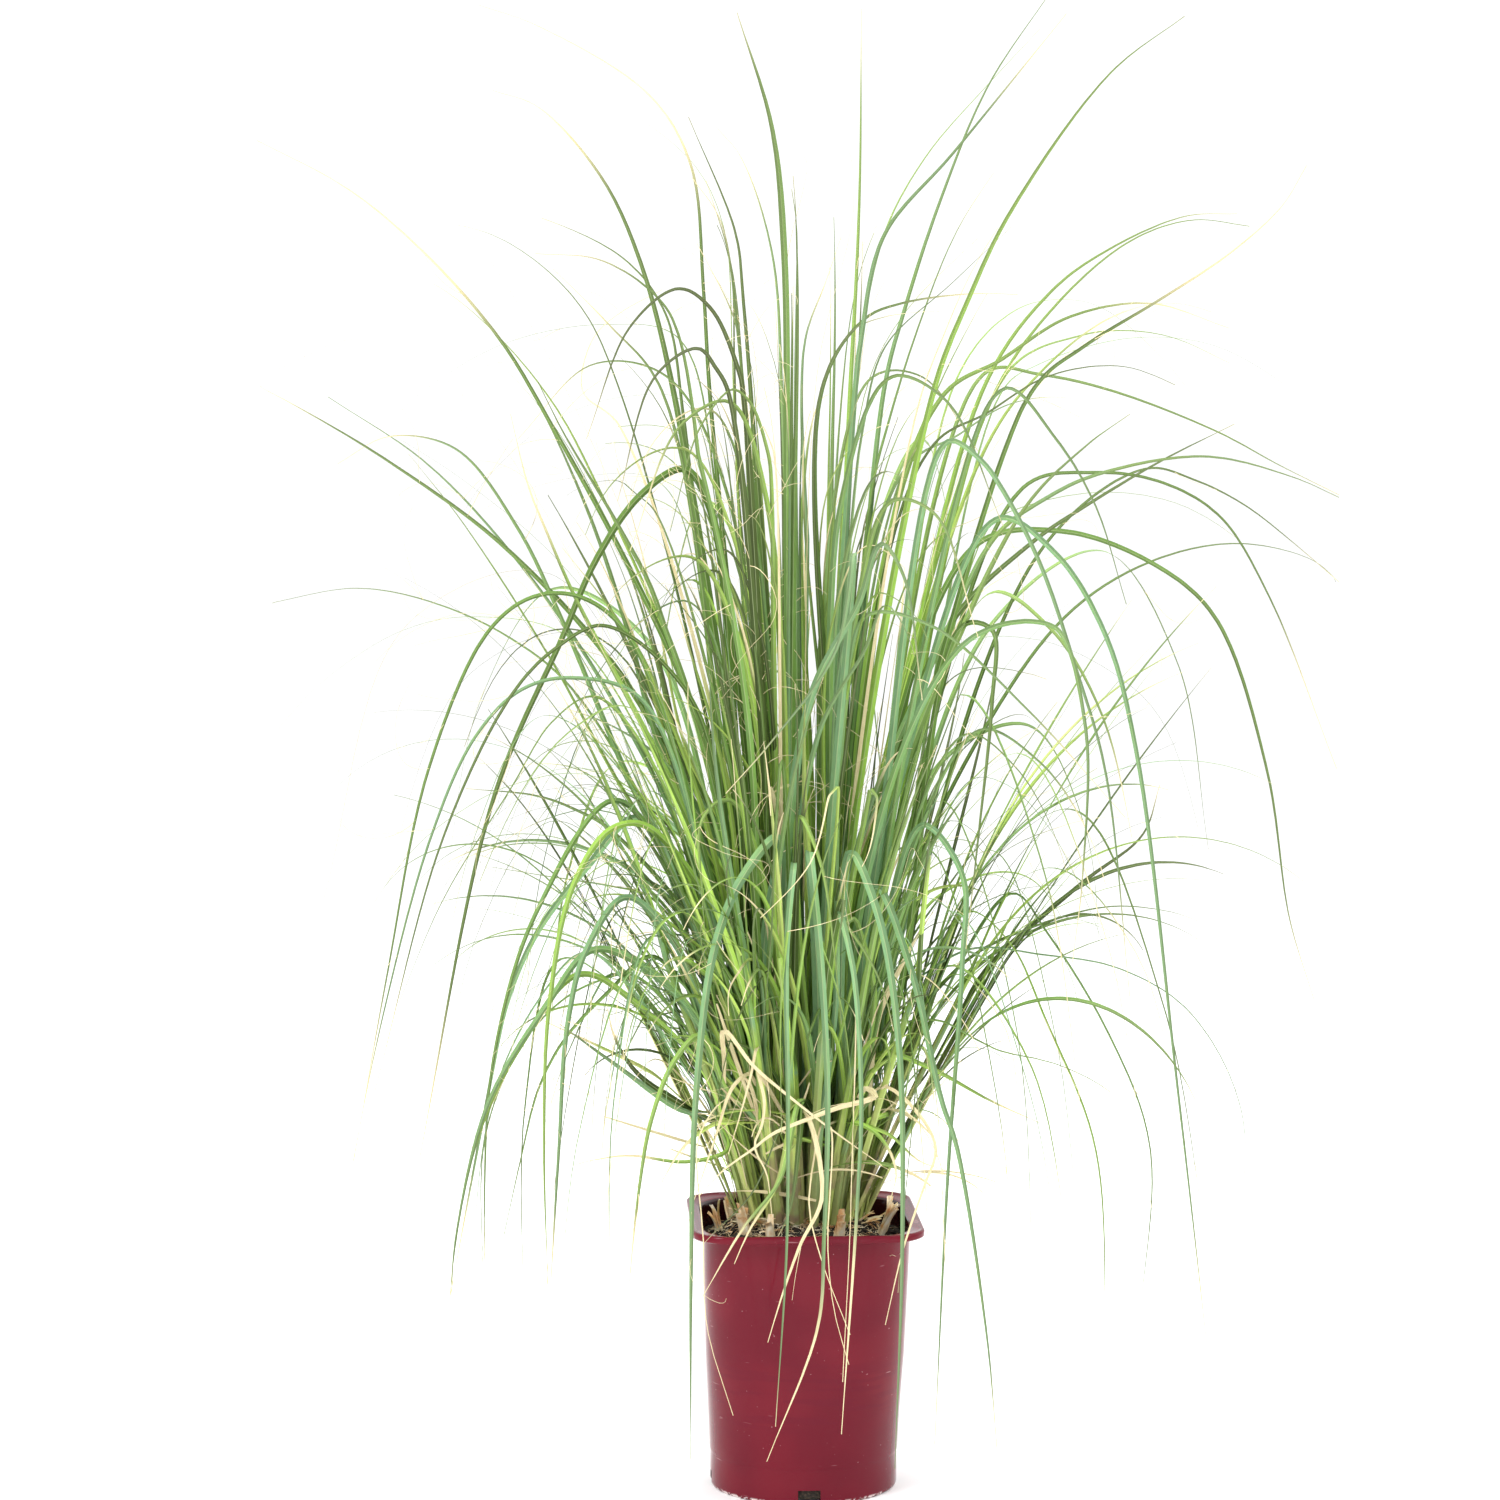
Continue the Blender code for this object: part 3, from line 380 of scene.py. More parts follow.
# Tones: 0 dark olive, 0.25 deep green, 0.45 blue green, 0.65 fresh green, 0.85 lime, 1 straw.
# Straw blades and others that stand out, by shoot and place in its row: tone and how much of the tip is dry
DARK, DEEP, BLUE, FRESH, LIME, STRAW = 0.02, 0.25, 0.45, 0.65, 0.85, 1.0
TONES = {
    ("shoot_mid_left", 0): (DEEP, 0.25),
    ("shoot_mid_left_back", 0): (DEEP, 0.15),
    ("shoot_left_fall", 0): (STRAW, 1.0),
    ("shoot_front_left", 0): (STRAW, 1.0),
    ("shoot_front_left", 1): (BLUE, 0.05),
    ("shoot_front_left", 2): (0.56, 0.2),
    ("shoot_front_1", 0): (STRAW, 1.0),
    ("shoot_front_1", 1): (BLUE, 0.08),
    ("shoot_front_2", 0): (BLUE, 0.2),
    ("shoot_front_2", 1): (BLUE, 0.24),
    ("shoot_front_3", 0): (STRAW, 1.0),
    ("shoot_front_3", 1): (BLUE, 0.03),
    ("shoot_front_right", 0): (BLUE, 0.1),
    ("shoot_front_right", 1): (BLUE, 0.1),
    ("shoot_front_right", 2): (DEEP, 0.1),
    ("shoot_mid_front", 0): (0.55, 0.25),
    ("shoot_mid_front", 2): (BLUE, 0.1),
    ("shoot_right_outer", 1): (BLUE, 0.1),
    ("shoot_right_outer", 2): (DARK, 0.1),
    ("shoot_right_far", 0): (DEEP, 0.1),
    ("shoot_right_far", 1): (DEEP, 0.15),
    ("shoot_mid_right_front", 2): (DEEP, 0.2),
    ("shoot_mid_front_right", 0): (BLUE, 0.1),
    ("shoot_mid_front_right", 1): (BLUE, 0.12),
    ("shoot_mid_front_right", 2): (0.4, 0.12),
    ("shoot_mid_back_left", 0): (0.22, 0.25),
    ("shoot_mid_back_left", 2): (LIME, 0.5),
    ("shoot_mid_front_left", 0): (DARK, 0.08),
    ("shoot_mid_front_left", 1): (DARK, 0.08),
    ("shoot_left_low", 2): (BLUE, 0.15),
    ("shoot_left_outer", 1): (BLUE, 0.15),
    ("shoot_left_far", 0): (DEEP, 0.1),
    ("shoot_left_outer", 2): (LIME, 0.3),
    ("shoot_left_fall", 3): (BLUE, 0.15),
    ("shoot_left_fall", 1): (0.3, 0.15),
    ("shoot_left_fall", 2): (BLUE, 0.15),
}

# Thin strands that no solid stands for: the shoot, width in mm, tip depth and route as above, and where
# they aren't dry straw, their tone and how much of the tip is dry
THIN_STRANDS = (
    ("shoot_front_3", 4.6, -150,
     ((50, 328), (58, 322), (26, 312), (5, 304), (-26, 291), (-40, 280), (-65, 262), (-84, 242))),
    ("shoot_front_left", 3.2, -120, ((-36, 340), (-38, 362), (-42, 342), (-51, 308), (-61, 275))),
    ("shoot_front_1", 3.2, -130,
     ((-30, 330), (-38, 344), (-32, 319), (-34, 298), (-40, 282), (-30, 259), (-26, 227))),
    ("shoot_mid_left_front", 5.5, -60,
     ((-76, 500), (-188, 731), (-206, 773), (-222, 813), (-236, 870)), 0.6, 0.2),
    ("shoot_front_1", 2.0, -120, ((-26, 430), (-37, 472), (-70, 458), (-105, 438))),
    ("shoot_front_right", 6.0, -60, ((58, 380), (78, 426), (94, 456), (104, 470))),
    ("shoot_left_outer", 5.4, -40, ((-62, 300), (-101, 312), (-150, 346), (-197, 380)), BLUE, 0.1),
    ("shoot_left_low", 5.0, 20, ((-60, 310), (-93, 344), (-121, 392), (-169, 440), (-196, 424)), DEEP, 0.15),
    ("shoot_right_outer", 4.6, -60, ((48, 330), (62, 356), (100, 345), (150, 318), (190, 300)), FRESH, 0.2),
    ("shoot_right_outer", 4.4, -90, ((50, 300), (70, 290), (92, 270), (114, 262)), 0.7, 0.2),
    ("shoot_front_3", 4.2, -120, ((44, 300), (62, 288), (74, 262), (70, 240)), FRESH, 0.3),
    ("shoot_front_left", 4.4, -120, ((-50, 300), (-70, 300), (-96, 282), (-116, 250)), LIME, 0.3),
    ("shoot_left_fall", 5.4, -110,
     ((-60, 330), (-110, 410), (-168, 440), (-208, 393), (-254, 316), (-279, 215), (-285, 158)), 0.42, 0.08),
    ("shoot_left_low", 5.0, -90,
     ((-62, 320), (-130, 392), (-180, 420), (-228, 362), (-262, 290), (-282, 190), (-283, 150)), 0.6, 0.08),
    ("shoot_left_outer", 4.6, -70,
     ((-64, 380), (-150, 560), (-215, 470), (-250, 350), (-257, 240), (-256, 165)), 0.36, 0.1),
    ("shoot_left_low", 5.4, -30, ((-62, 296), (-93, 312), (-134, 340), (-152, 368), (-158, 392)), DARK, 0.2),
    ("shoot_front_3", 4.2, -160,
     ((26, 500), (34, 640), (50, 708), (102, 700), (180, 632), (258, 546)), 0.5, 0.15),
    ("shoot_left_outer", 2.0, -40, ((-70, 300), (-92, 330), (-120, 352), (-140, 330))),
    ("shoot_front_left", 1.8, -90, ((-52, 300), (-80, 300), (-104, 262), (-112, 216))),
    ("shoot_right_outer", 1.8, -60, ((56, 300), (84, 322), (110, 300), (120, 262))),
    ("shoot_front_3", 2.2, -90, ((36, 320), (52, 372), (66, 402), (90, 398))),
    ("shoot_mid_front", 1.6, -130, ((-20, 300), (-3, 304), (22, 314), (58, 319))),
    ("shoot_front_left", 1.5, -160, ((-60, 320), (-84, 290), (-81, 208), (-78, 136), (-57, 65))),
    ("shoot_front_1", 1.4, -150, ((-60, 300), (-88, 262), (-92, 200))),
    ("shoot_front_2", 1.5, -150, ((14, 300), (4, 236), (14, 190), (37, 130))),
    ("shoot_front_2", 1.3, -170, ((20, 300), (19, 200), (24, 150), (36, 106)), 0.75, 0.9),
    ("shoot_front_3", 1.5, -170, ((60, 320), (92, 300), (112, 256), (108, 226))),
    ("shoot_right_outer", 2.2, -80,
     ((75, 340), (147, 506), (205, 538), (250, 546), (284, 538), (314, 522)), DARK, 0.3),
    ("shoot_left_outer", 3.5, -30,
     ((-60, 280), (-94, 269), (-141, 274), (-171, 270), (-186, 266)), 0.6, 0.35),
    ("shoot_left_low", 1.3, -60, ((-80, 420), (-150, 560), (-230, 560), (-320, 430), (-359, 280)), DARK, 0.3),
    ("shoot_left_fall", 1.2, -90,
     ((-80, 460), (-170, 690), (-270, 660), (-340, 470), (-368, 280)), DARK, 0.3),
    ("shoot_left_fall", 1.2, -70,
     ((-70, 440), (-120, 540), (-200, 560), (-255, 430), (-265, 299)), DEEP, 0.3),
    ("shoot_left_low", 1.3, 30, ((-80, 460), (-200, 740), (-320, 700), (-388, 473)), DARK, 0.4),
    ("shoot_left_fall", 1.2, -130, ((-70, 420), (-110, 500), (-126, 380), (-128, 210)), BLUE, 0.2),
    ("shoot_front_left", 1.2, -170, ((-56, 420), (-90, 450), (-110, 330), (-114, 126)), BLUE, 0.3),
    ("shoot_front_2", 1.3, -160, ((20, 420), (36, 440), (38, 250), (31, 92)), DEEP, 0.5),
    ("shoot_front_right", 1.4, -120, ((60, 440), (110, 560), (170, 380), (185, 83)), DEEP, 0.2),
    ("shoot_right_low", 1.4, -90, ((60, 440), (100, 520), (155, 320), (176, 73)), DEEP, 0.3),
    ("shoot_right_low", 1.4, -60, ((70, 400), (150, 520), (200, 380), (229, 94)), DEEP, 0.2),
    ("shoot_front_right", 1.3, -150, ((60, 400), (120, 470), (180, 330), (210, 163)), BLUE, 0.2),
    ("shoot_front_right", 1.2, -120, ((50, 380), (90, 420), (140, 360), (163, 258)), LIME, 0.5),
    ("shoot_right_outer", 1.3, -40, ((70, 330), (120, 420), (160, 380), (175, 297)), FRESH, 0.4),
    ("shoot_right_outer", 1.4, 10, ((80, 380), (150, 500), (210, 430), (238, 210)), DEEP, 0.3),
    ("shoot_front_3", 1.3, -150, ((50, 400), (80, 450), (105, 330), (114, 175)), BLUE, 0.3),
    ("shoot_front_3", 1.3, -190, ((40, 380), (70, 420), (95, 280), (102, 74)), DEEP, 0.4),
    ("shoot_mid_back_left", 1.4, 150,
     ((-30, 520), (-43, 800), (-47, 888), (-57, 912), (-73, 922)), LIME, 0.5),
    ("shoot_mid_left", 1.5, 20,
     ((-60, 500), (-150, 800), (-250, 990), (-330, 1086), (-395, 1150)), LIME, 0.5),
    ("shoot_left_far", 1.4, 60, ((-80, 480), (-180, 740), (-290, 900), (-360, 930), (-425, 905)), 0.8, 0.4),
    ("shoot_mid_right", 1.4, 60, ((50, 520), (140, 820), (230, 930), (330, 960), (420, 930)), 0.8, 0.4),
    ("shoot_mid_right_back", 1.4, 120,
     ((50, 520), (160, 900), (250, 980), (330, 990), (400, 950)), 0.85, 0.5),
    ("shoot_centre_right", 1.4, 20, ((30, 520), (60, 900), (80, 1030), (74, 1130)), LIME, 0.5),
    ("shoot_centre_back", 1.4, 60, ((0, 520), (10, 900), (40, 1040), (30, 1090), (-20, 1092)), 0.9, 0.7),
)

# Blades that crowd round the traced ones of a shoot, by how its name starts, and their widths in mm by ring
CROWDS = {
    "shoot_front": 2,
    "shoot_right": 2,
    "shoot_left": 6,
    "shoot_mid_right": 2,
    "shoot_mid_front_right": 4,
    "shoot_mid": 9,
    "shoot_centre": 11,
    "shoot": 7,
}
CROWD_WIDTHS = {17: (3.6, 7.6), 37: (3.0, 6.8), 56: (1.2, 3.4)}

# Traced blades as they are dressed: how wide for their solids, and how far they turn to the eye
DRESSED = {
    "shoot_front": (0.8, 0.8),
    "shoot_left_fa": (0.82, 0.7),
    "shoot_left_outer": (0.76, 0.5),
    "shoot_right_far": (0.8, 0.7),
    "shoot_right_outer": (0.76, 0.5),
    "shoot_mid": (0.92, 0.8),
    "shoot_centre": (1.05, 0.85),
    "shoot": (0.72, 0.4),
}
STRAW_SLIM = 0.5

# Where most blades start to taper, as a share of their length, and where others do
SLIMMER_FROM = 0.4
TAPERS = {
    ("shoot_mid_front", 0): 0.0,
    ("shoot_left_fall", 1): 0.05,
    ("shoot_left_fall", 2): 0.05,
    ("shoot_left_low", 0): 0.2,
    ("shoot_left_low", 1): 0.2,
    ("shoot_front_left", 3): 0.1,
    ("shoot_front_2", 0): 0.15,
    ("shoot_mid_front_right", 0): 0.2,
    ("shoot_mid_front_right", 1): 0.08,
    ("shoot_mid_front_right", 2): 0.1,
    ("shoot_centre_front_left", 0): 0.82,
    ("shoot_mid_back_left", 0): 0.22,
    ("shoot_mid_back_left", 2): 0.15,
    ("shoot_mid_left", 0): 0.3,
    ("shoot_left_back", 0): 0.2,
    ("shoot_left_back", 1): 0.2,
    ("shoot_back_left", 0): 0.25,
    ("shoot_centre_left", 1): 0.2,
    ("shoot_centre_back", 1): 0.25,
    ("shoot_back_mid", 0): 0.3,
    ("shoot_back", 0): 0.3,
}

# Straws that lie on the compost, from place to place in mm with their widths, and pale chips
LYING_STRAWS = (
    ((34, 32), (68, 26), 3.2),
    ((-72, 22), (-44, 2), 1.6),
    ((57, 2), (76, 34), 1.8),
    ((-36, -14), (-8, -20), 1.6),
    ((-66, 44), (-56, 8), 2.0),
    ((22, -16), (50, -4), 1.5),
)
CHIPS = ((-70, 17), (64, 22), (-60, -4), (30, -10), (-28, 2), (71, 45))

# How many low leaves, dead leaves, offshoots and curls there are, and fine arcs to the left and the right
LOW_LEAVES = 34
DEAD_LEAVES = 90
OFFSHOOTS = 74
CURLS = 380
FINE_ARCS = {-1: 22, 1: 5}

# The share of its length over which a blade turns to the eye, and the most that a blade is dry
FACING_FROM = 0.22
ALL_DRY = 0.82

# Where nothing may reach: into the pot from outside, or into the ground
RIM_CLEAR = 96 * MM
RIM_TOP = 225 * MM
GROUND_CLEAR = 2 * MM
EDGE_CLEAR = 1.5 * MM

# Points of each stretch of a curve, and the least steps of a line, stations of a blade and drawn points
CURVE_STEPS = 16
LEAST_STEPS = 6
LEAST_STATIONS = 4
LEAST_DRAWN = 5

# The least share of its way in depth that a blade has gone at its top
DRIFT_AT_TOP = 0.5

# A tiller: the points at which its room is judged, and how close its blades are at its foot, for its top
STEM_STATIONS = 13
FOOT_SPREAD = 0.55

# How far a leaf or an arc may stand to either side of its tiller's middle, in mm
ASIDE = 2

# The scale of the pattern along a blade, and the angle from which its edges stay sharp
FLAT_SCALE = 10
SHARP = math.radians(60)


def polar(distance, degrees):
    """A point on the level, from its distance to the middle in mm and its direction."""
    angle = math.radians(degrees)
    return Vector((math.cos(angle), math.sin(angle), 0)) * distance * MM


def crown_place(distance, degrees):
    """A place in the crown on the compost, from its distance to the crown's middle and its direction."""
    place = polar(distance, degrees)
    return Vector((place.x, place.y * CROWN_DEPTH + CROWN_BACK, SOIL_TOP * MM + GAP))


def seen(across, up, depth):
    """The points at these depths behind the pot's middle that the eye sees at places on its plane."""
    forward = (AIM - EYE).normalized()
    side = forward.cross(UP).normalized()
    rise = side.cross(forward)
    rays = np.array(AIM - EYE) + np.outer(across * MM - AIM.x, side) + np.outer(up * MM - AIM.z, rise)
    return np.array(EYE) + rays * ((depth - EYE.y) / rays[:, 1])[:, None]


def as_seen(point):
    """Where on its square-on plane the eye sees a point, in mm across and up."""
    forward = (AIM - EYE).normalized()
    side = forward.cross(UP).normalized()
    rise = side.cross(forward)
    ray = point - EYE
    place = EYE + ray * ((AIM - EYE).length / ray.dot(forward)) - AIM
    return (place.dot(side) + AIM.x) / MM, (place.dot(rise) + AIM.z) / MM


def lengths_along(points):
    """How far along a line of points each one lies."""
    return np.concatenate([[0], np.cumsum(np.linalg.norm(np.diff(points, axis=0), axis=1))])


def spaced(points, step):
    """Evenly spaced points along a line of points."""
    lengths = lengths_along(points)
    count = max(LEAST_STEPS, int(lengths[-1] / step))
    places = np.linspace(0, lengths[-1], count + 1)
    return np.column_stack([np.interp(places, lengths, points[:, axis]) for axis in range(points.shape[1])])


def smooth_curve(points, step):
    """Evenly spaced points of a centripetal Catmull-Rom curve through these points."""
    points = np.array(points, dtype=float)
    ends = [points[0] * 2 - points[1], *points, points[-1] * 2 - points[-2]]
    t = np.linspace(0, 1, CURVE_STEPS, endpoint=False)[:, None]
    fine = []
    for before, start, end, after in zip(ends, ends[1:], ends[2:], ends[3:]):
        spans = (start - before, end - start, after - end)
        reach = [np.linalg.norm(span) ** 0.5 for span in spans]
        leaving = end - start + reach[1] * (
            (start - before) / reach[0] - (end - before) / (reach[0] + reach[1])
        )
        arriving = end - start + reach[1] * (
            (after - end) / reach[2] - (after - start) / (reach[1] + reach[2])
        )
        fine.append(
            (2 * t ** 3 - 3 * t ** 2 + 1) * start + (t ** 3 - 2 * t ** 2 + t) * leaving
            + (3 * t ** 2 - 2 * t ** 3) * end + (t ** 3 - t ** 2) * arriving
        )
    return spaced(np.vstack([*fine, points[-1:]]), step)


def smoothstep(value):
    """A ramp from 0 to 1 that starts and ends gently."""
    value = np.clip(value, 0, 1)
    return value * value * (3 - 2 * value)


def drift(share, top):
    """The share of its way in depth that a blade has gone: fast over its top, slow before and after."""
    at_top = max(DRIFT_AT_TOP, top)
    rising = at_top * (share / top) ** DRIFT_POWER
    fallen = np.clip((share - top) / max(1 - top, 0.01), 0, 1)
    return np.where(share <= top, rising, at_top + (1 - at_top) * (1 - (1 - fallen) ** DRIFT_POWER))


def route_path(start, tip_depth, route, sway=0.0, swing=0.0):
    """The route in space from a start to its tip, where a sway moves it farther and a swing sideways."""
    flat = smooth_curve([as_seen(start), *route], ROUTE_STEP / MM)
    steps = np.diff(flat, axis=0)
    headings = np.unwrap(np.arctan2(steps[:, 1], steps[:, 0]))
    turning = np.abs(np.diff(headings, prepend=headings[0]))
    effort = np.cumsum(np.linalg.norm(steps, axis=1) + TURN_REACH / MM * turning)
    share = np.concatenate([[0], effort / effort[-1]])
    top = max(share[flat[:, 1].argmax()], 0.01)
    depth = start.y + (tip_depth * MM - start.y) * drift(share, top) + sway * smoothstep(share / SWAY_END)
    bow = swing / MM * np.sin(math.pi * np.minimum(share / SWING_END, 1))
    return spaced(seen(flat[:, 0] + bow, flat[:, 1], depth), ROUTE_STEP)


def bends(path):
    """The angle that a path turns through at each of its points."""
    steps = np.diff(path, axis=0)
    directions = steps / np.maximum(np.linalg.norm(steps, axis=1), 1e-9)[:, None]
    turned = np.arccos(np.clip((directions[:-1] * directions[1:]).sum(1), -1, 1))
    return np.concatenate([[0], turned, [0]])


def stations(path):
    """The few points of a path at which its room is judged, shared out over its length and bending."""
    effort = np.concatenate([[0], np.cumsum(ROUTE_STEP / LENGTH_STEP + bends(path)[1:] / BEND_STEP)])
    count = max(LEAST_STATIONS, round(effort[-1]))
    picks = np.searchsorted(effort, np.linspace(0, effort[-1], count + 1)[1:-1])
    later = {int(pick) for pick in picks if pick > FAN_PICK + 2}
    return [0, FAN_PICK, *sorted(later), len(path) - 1]


def drawn_points(path, length_step, bend_step):
    """Which points of a path are drawn: close together where it bends."""
    lengths = lengths_along(path)
    effort = lengths / length_step + np.cumsum(bends(path)) / bend_step
    count = max(LEAST_DRAWN, round(effort[-1]))
    picks = np.searchsorted(effort, np.linspace(0, effort[-1], count + 1)[1:-1])
    return np.unique([0, *picks, len(path) - 1])


class Shoot:
    """A flattened tiller with the blades that leave it, as the solids have it."""

    def __init__(self, name, distance, degrees, blades):
        self.name = name
        self.distance = distance
        self.root = crown_place(distance, degrees)
        self.foot = crown_place(distance * FOOT_DRAW, degrees)
        self.rise = STEM_RISE
        self.girth = SHEATH_WIDTH
        self.outward = polar(1, degrees).normalized()
        self.side = UP.cross(self.outward)
        self.course = math.atan2(self.outward.y, self.outward.x)
        self.top = self.root + UP * STEM_RISE + self.outward * distance * MM * STEM_LEAN
        self.blades = sorted(blades, key=self.lean)
        self.tones = [TONES.get((name, blades.index(blade))) for blade in self.blades]
        self.tapers = [TAPERS.get((name, blades.index(blade)), SLIMMER_FROM) for blade in self.blades]

    def lean(self, blade):
        """How far outward a blade leans over its first stretch."""
        tip_depth, *route = blade[1:]
        path = route_path(self.top, tip_depth, route)
        return float((path[min(LEAN_PICK, len(path) - 1)] - path[0]).dot(self.outward))

    def offset(self, index):
        """How far outward from the tiller's middle one cell of the top lies."""
        return (index + 0.5 - len(self.blades) / 2) * CELL_THICKNESS

    def path(self, index, sway, swing):
        """One blade's path. It starts in its cell and fans out from its neighbours as it leaves."""
        tip_depth, *route = self.blades[index][1:]
        path = route_path(self.top + self.outward * self.offset(index), tip_depth, route, sway, swing)
        lengths = lengths_along(path)
        fanned = smoothstep(lengths / FAN_RISE) * (1 - smoothstep(lengths / FAN_END))
        return path + np.outer(fanned * self.offset(index) * FAN_SPREAD, self.outward)

    def stem(self, offset):
        """Points up the tiller, from the compost to just below its top."""
        share = np.linspace(0, 1, STEM_ROWS, endpoint=False)[:, None]
        foot, top = np.array(self.foot), np.array(self.top)
        bow = np.sin(math.pi * share) * STEM_BOW
        spread = FOOT_SPREAD + (1 - FOOT_SPREAD) * share
        return foot + (top - foot) * share + spread * np.array(offset) - bow * np.array(self.outward)

    def aside(self, chance, most=ASIDE):
        """A small random step to either side of the tiller."""
        return self.side * chance.uniform(-most, most) * MM

    def beside(self, chance, sideways, outward):
        """A small random step to either side and then in or out."""
        return self.aside(chance, sideways) + self.outward * chance.uniform(-outward, outward) * MM

    def frames(self, path, twist, facing):
        """The directions across a blade and out of its face at each point. Facing turns it to the eye."""
        heading = Vector(path[-1] - path[0])
        heading.z = 0
        heading.normalize()
        target = UP.cross(heading)
        hand = 1 if target.dot(self.side) >= 0 else -1
        target *= hand
        across = self.side
        before = None
        widths, faces = [], []
        for index in range(len(path)):
            tangent = Vector(path[min(index + 1, len(path) - 1)] - path[max(index - 1, 0)]).normalized()
            turned = smoothstep((index - FAN_PICK) * ROUTE_STEP / TURN_LENGTH)
            across = across.lerp(target, turned * TURN_RATE)
            across = (across - tangent * across.dot(tangent)).normalized()
            share = max(0, index - FAN_PICK) / (len(path) - 1)
            twisted = (Quaternion(tangent, twist * smoothstep(share / TWIST_END)) @ across) * hand
            if facing:
                square = tangent.cross(Vector(path[index]) - EYE).normalized()
                before = before or (square if square.dot(twisted) > 0 else -square)
                before = square if square.dot(before) > 0 else -square
                twisted = twisted.lerp(before, facing * float(smoothstep(share / FACING_FROM))).normalized()
            widths.append(twisted)
            faces.append(tangent.cross(twisted))
        return np.array(widths), np.array(faces)


def settle(shoots):
    """Lay out every blade in turn, swaying it nearer or farther until it clears those already placed."""
    stems = [(shoot, np.linspace(shoot.root, shoot.top, STEM_STATIONS)) for shoot in shoots]
    placed = []
    for shoot in shoots:
        shoot.paths = []
        for index, (width, *_) in enumerate(shoot.blades):
            for sway, swing in SWAYS:
                path = shoot.path(index, sway, swing)
                laid = spaced(path[stations(path)], ROUTE_STEP)
                if is_clear(laid, width * MM, shoot, stems, placed):
                    break
            shoot.paths.append(path)
            placed.append((shoot, laid, width * MM))


def is_clear(path, width, shoot, stems, placed):
    """Whether a blade's path keeps its distance from the other tillers and the blades laid so far."""
    for other, stem in stems:
        if other is not shoot and nearest(path, stem) < (STEM_WIDTH + width) * TURNED_HALF + CLEAR:
            return False
    for other, laid, laid_width in placed:
        apart = (width + laid_width) * TURNED_HALF + CLEAR
        if other is not shoot:
            if nearest(path, laid) < apart:
                return False
        elif nearest(path[FAN_PICK:FAN_OPEN], laid[FAN_PICK:FAN_OPEN]) < FAN_CLEAR:
            return False
        elif nearest(path[FAN_OPEN:], laid[FAN_OPEN:]) < apart:
            return False
    return True


def nearest(first, second):
    """The least distance between the points of two paths."""
    if (first.min(0) > second.max(0) + FAR).any() or (second.min(0) > first.max(0) + FAR).any():
        return 1.0
    apart = first[:, None, :] - second[None, :, :]
    return math.sqrt((apart ** 2).sum(2).min())


class Strands:
    """The blades, sheaths and threads of one piece, gathered as points, faces and marks of growth."""

    def __init__(self):
        self.points = []
        self.faces = []
        self.flat = []
        self.marks = []
        self.count = 0

    def add(self, path, across, face, half_widths, lifts, section, share, tone, dry):
        """One closed strand: a section set square to a path at each of its points."""
        section = np.array(section, dtype=float)
        rows, around = len(path), len(section)
        wide = across[:, None, :] * (section[None, :, 0] * half_widths[:, None])[:, :, None]
        high = face[:, None, :] * (section[None, :, 1] * lifts[:, None])[:, :, None]
        self.points.append((path[:, None, :] + wide + high).reshape(-1, 3))
        row, spot = np.meshgrid(np.arange(rows - 1), np.arange(around), indexing="ij")
        here = self.count + row * around
        after = (spot + 1) % around
        quads = np.stack([here + spot, here + after, here + around + after, here + around + spot], axis=-1)
        self.faces.extend(quads.reshape(-1, 4).tolist())
        self.faces.append([self.count + index for index in reversed(range(around))])
        self.faces.append([self.count + (rows - 1) * around + index for index in range(around)])
        u = np.broadcast_to((section[None, :, 0] + 1) / 2, (rows, around))
        v = np.broadcast_to((lengths_along(path) * FLAT_SCALE)[:, None], (rows, around))
        self.flat.append(np.stack([u, v], axis=-1).reshape(-1, 2))
        mark = np.empty((rows * around, 4), dtype=np.float32)
        mark[:, 0] = np.repeat(share, around)
        mark[:, 1] = np.repeat(np.broadcast_to(tone, rows), around)
        mark[:, 2] = dry
        mark[:, 3] = 1
        self.marks.append(mark)
        self.count += rows * around

    def piece(self, name, finish):
        """The gathered strands as one object."""
        mesh = bpy.data.meshes.new(name)
        mesh.from_pydata(np.vstack(self.points).tolist(), [], self.faces)
        corners = np.empty(len(mesh.loops), dtype=np.int32)
        mesh.loops.foreach_get("vertex_index", corners)
        flat = mesh.uv_layers.new(name="blade")
        flat.data.foreach_set("uv", np.vstack(self.flat)[corners].astype(np.float32).ravel())
        growth = mesh.attributes.new("growth", "FLOAT_COLOR", "POINT")
        growth.data.foreach_set("color", np.vstack(self.marks).ravel())
        mesh.materials.append(finish)
        mesh.shade_smooth()
        mesh.set_sharp_from_angle(angle=SHARP)
        thing = bpy.data.objects.new(name, mesh)
        bpy.context.scene.collection.objects.link(thing)
        return thing


def taper(share, start):
    """How wide a blade still is at each share of its length, where it tapers from a share on."""
    return (1 - np.maximum(0, share - start) / (1 - start)) ** TAPER_POWER


def within(path):
    """A path held inside the room that the plant takes."""
    return np.clip(path, np.array(cad_box[0]) + 2 * EDGE_CLEAR, np.array(cad_box[1]) - 2 * EDGE_CLEAR)


def cut_short(path):
    """A path up to where it would enter the pot or the ground, or leave the room that the plant takes."""
    inside_rim = (np.abs(path[:, 0]) < RIM_CLEAR) & (np.abs(path[:, 1]) < RIM_CLEAR)
    early = np.arange(len(path)) * ROUTE_STEP < STEM_RISE
    low, high = np.array(cad_box[0]) + EDGE_CLEAR, np.array(cad_box[1]) - EDGE_CLEAR
    bad = (inside_rim & (path[:, 2] < RIM_TOP) & ~early) | (path[:, 2] < GROUND_CLEAR)
    bad |= ((path < low) | (path > high)).any(1) & ~early
    return path[:bad.argmax()] if bad.any() else path


